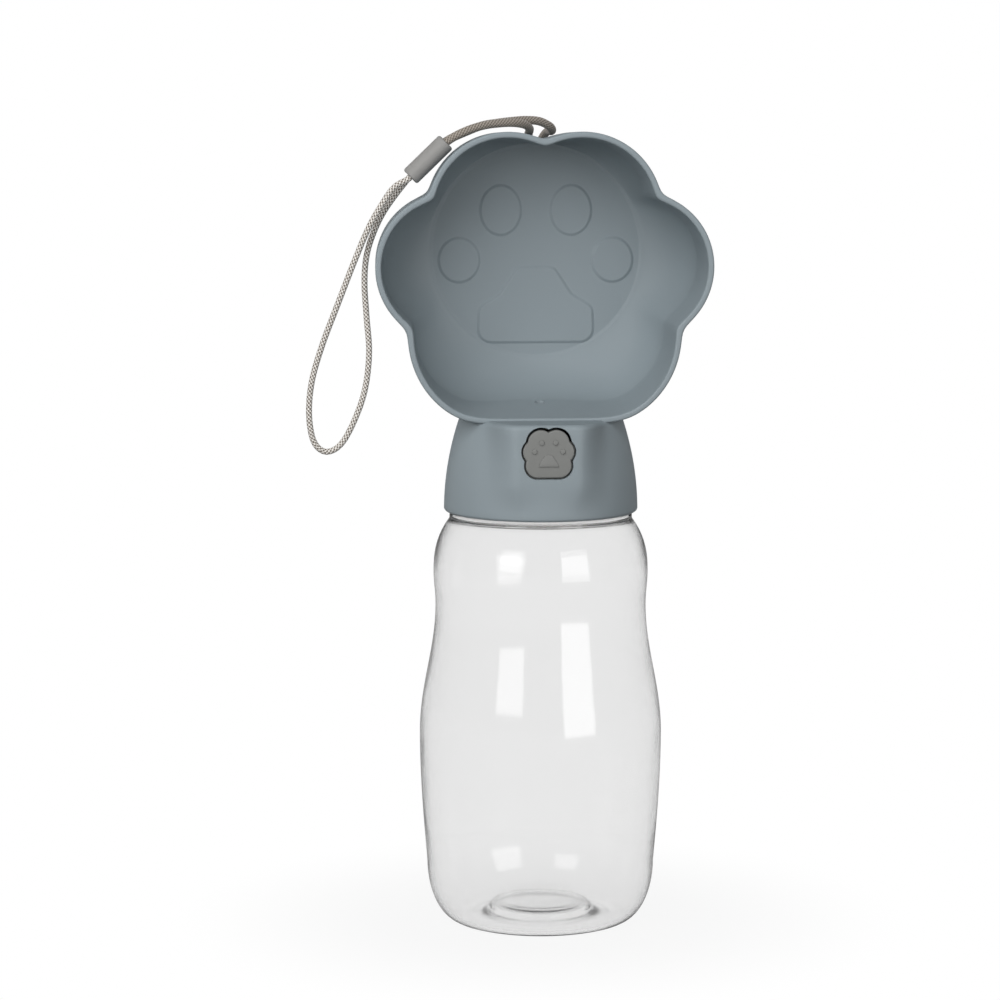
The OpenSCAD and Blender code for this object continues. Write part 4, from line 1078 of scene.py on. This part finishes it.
# %% [markdown]
# ## Light, floor and background
#
# The photograph was lit by two large soft boxes in front, left and right, and by a white room.
# Both boxes show on the bottle as soft windows. A large diffuser above and to the left is the
# main light, and two more behind the bottle lift its back. These three draw no windows of their
# own. The table is white and keeps a faint shadow. The background's white comes from the world
# and the table as the camera and clear plastic see them, and not from more light on the object,
# so the greys render about as they are written. Gloss sees a darker room, which keeps the
# bottle's edges grey, as in the photograph.

# %% Floor
TABLE = 20                            # metres on each side
SHADOW_IN, SHADOW_OUT = 0.035, 0.13   # radii in metres between which the table's own shadow fades out
GLOW, GLOSSY_TABLE = 0.92, 0.15       # the table's share of plain white, and its white seen in gloss
bpy.ops.mesh.primitive_plane_add(size=TABLE)
floor = bpy.context.object
floor.name = floor.data.name = "studio_floor"
white = new_material("white_table")
path = add(white, "ShaderNodeLightPath")
seen = add(white, "ShaderNodeMath", {0: path.outputs["Is Glossy Ray"], 1: GLOSSY_TABLE},
           operation="MULTIPLY")
for ray in ("Is Camera Ray", "Is Transmission Ray"):
    seen = add(white, "ShaderNodeMath", {0: seen.outputs[0], 1: path.outputs[ray]}, operation="MAXIMUM")
place = add(white, "ShaderNodeTexCoord")
distance = add(white, "ShaderNodeVectorMath", {0: place.outputs["Object"]}, operation="LENGTH")
# under the bottle a part of the white is matt and takes its shadow; further out it only glows
share = add(white, "ShaderNodeMapRange", {
    "Value": distance.outputs["Value"], "From Min": SHADOW_IN, "From Max": SHADOW_OUT,
    "To Min": GLOW, "To Max": 1.0}, interpolation_type="SMOOTHSTEP")
share = add(white, "ShaderNodeMath", {0: seen.outputs[0], 1: share.outputs[0]}, operation="MULTIPLY")
matt = add(white, "ShaderNodeBsdfDiffuse", {"Color": linear("#7c7c7c")})
glow = add(white, "ShaderNodeEmission", {"Color": (1, 1, 1, 1), "Strength": 1.0})
show(white, add(white, "ShaderNodeMixShader", {
    0: share.outputs[0], 1: matt.outputs[0], 2: glow.outputs[0]}))
floor.data.materials.append(white)

# %% World
ROOM, ROOM_GLOSS = 0.11, 0.06         # light from the room, and how much more gloss sees
world = bpy.data.worlds.new("white_room")
world.use_nodes = True
world.node_tree.nodes.clear()
bpy.context.scene.world = world
path = add(world, "ShaderNodeLightPath")
strength = add(world, "ShaderNodeMath", {0: path.outputs["Is Glossy Ray"], 1: ROOM_GLOSS, 2: ROOM},
               operation="MULTIPLY_ADD")
for ray in ("Is Camera Ray", "Is Transmission Ray"):
    strength = add(world, "ShaderNodeMath", {0: strength.outputs[0], 1: path.outputs[ray]},
                   operation="MAXIMUM")
sky = add(world, "ShaderNodeBackground", {"Color": (1, 1, 1, 1), "Strength": strength.outputs[0]})
add(world, "ShaderNodeOutputWorld", {"Surface": sky.outputs[0]})

# %% Soft boxes
def light(name, centre, target, width, height, radiance):
    """An area light that faces a target. A radiance of 1 is as bright as the white background."""
    bpy.ops.object.light_add(type="AREA", location=centre)
    lamp = bpy.context.object
    lamp.name = name
    lamp.data.shape, lamp.data.size, lamp.data.size_y = "RECTANGLE", width, height
    lamp.data.energy = radiance * math.pi * width * height
    lamp.rotation_euler = (Vector(centre) - Vector(target)).to_track_quat("Z", "Y").to_euler()
    return lamp


def window(name, azimuth, low, high, width, distance, radiance):
    """An upright soft box round the bottle. Azimuth 0 is in front of it, 90 to its right."""
    turn, middle = math.radians(azimuth), (low + high) / 2
    x, y = distance * math.sin(turn), -distance * math.cos(turn)
    light(name, (x, y, middle), (0, 0, middle), width, high - low, radiance)


window("window_left", -35, low=0.156, high=0.486, width=0.42, distance=0.9, radiance=1.8)
window("window_right", 33, low=0.005, high=0.486, width=0.50, distance=0.9, radiance=2.1)
# large diffusers, which give light but must not draw windows of their own
AIM = (0, 0, 0.18)                    # where the bowl stands on the collar
for name, centre, wide, radiance in (("key_above_left", (-0.54, -1.08, 0.94), 1.6, 3.15),
                                     ("fill_behind_left", (-1.0, 0.9, 0.8), 1.2, 1.6),
                                     ("fill_behind_right", (1.0, 0.9, 0.8), 1.2, 1.6)):
    diffuser = light(name, centre, AIM, wide, wide, radiance)
    diffuser.visible_glossy = diffuser.visible_transmission = False
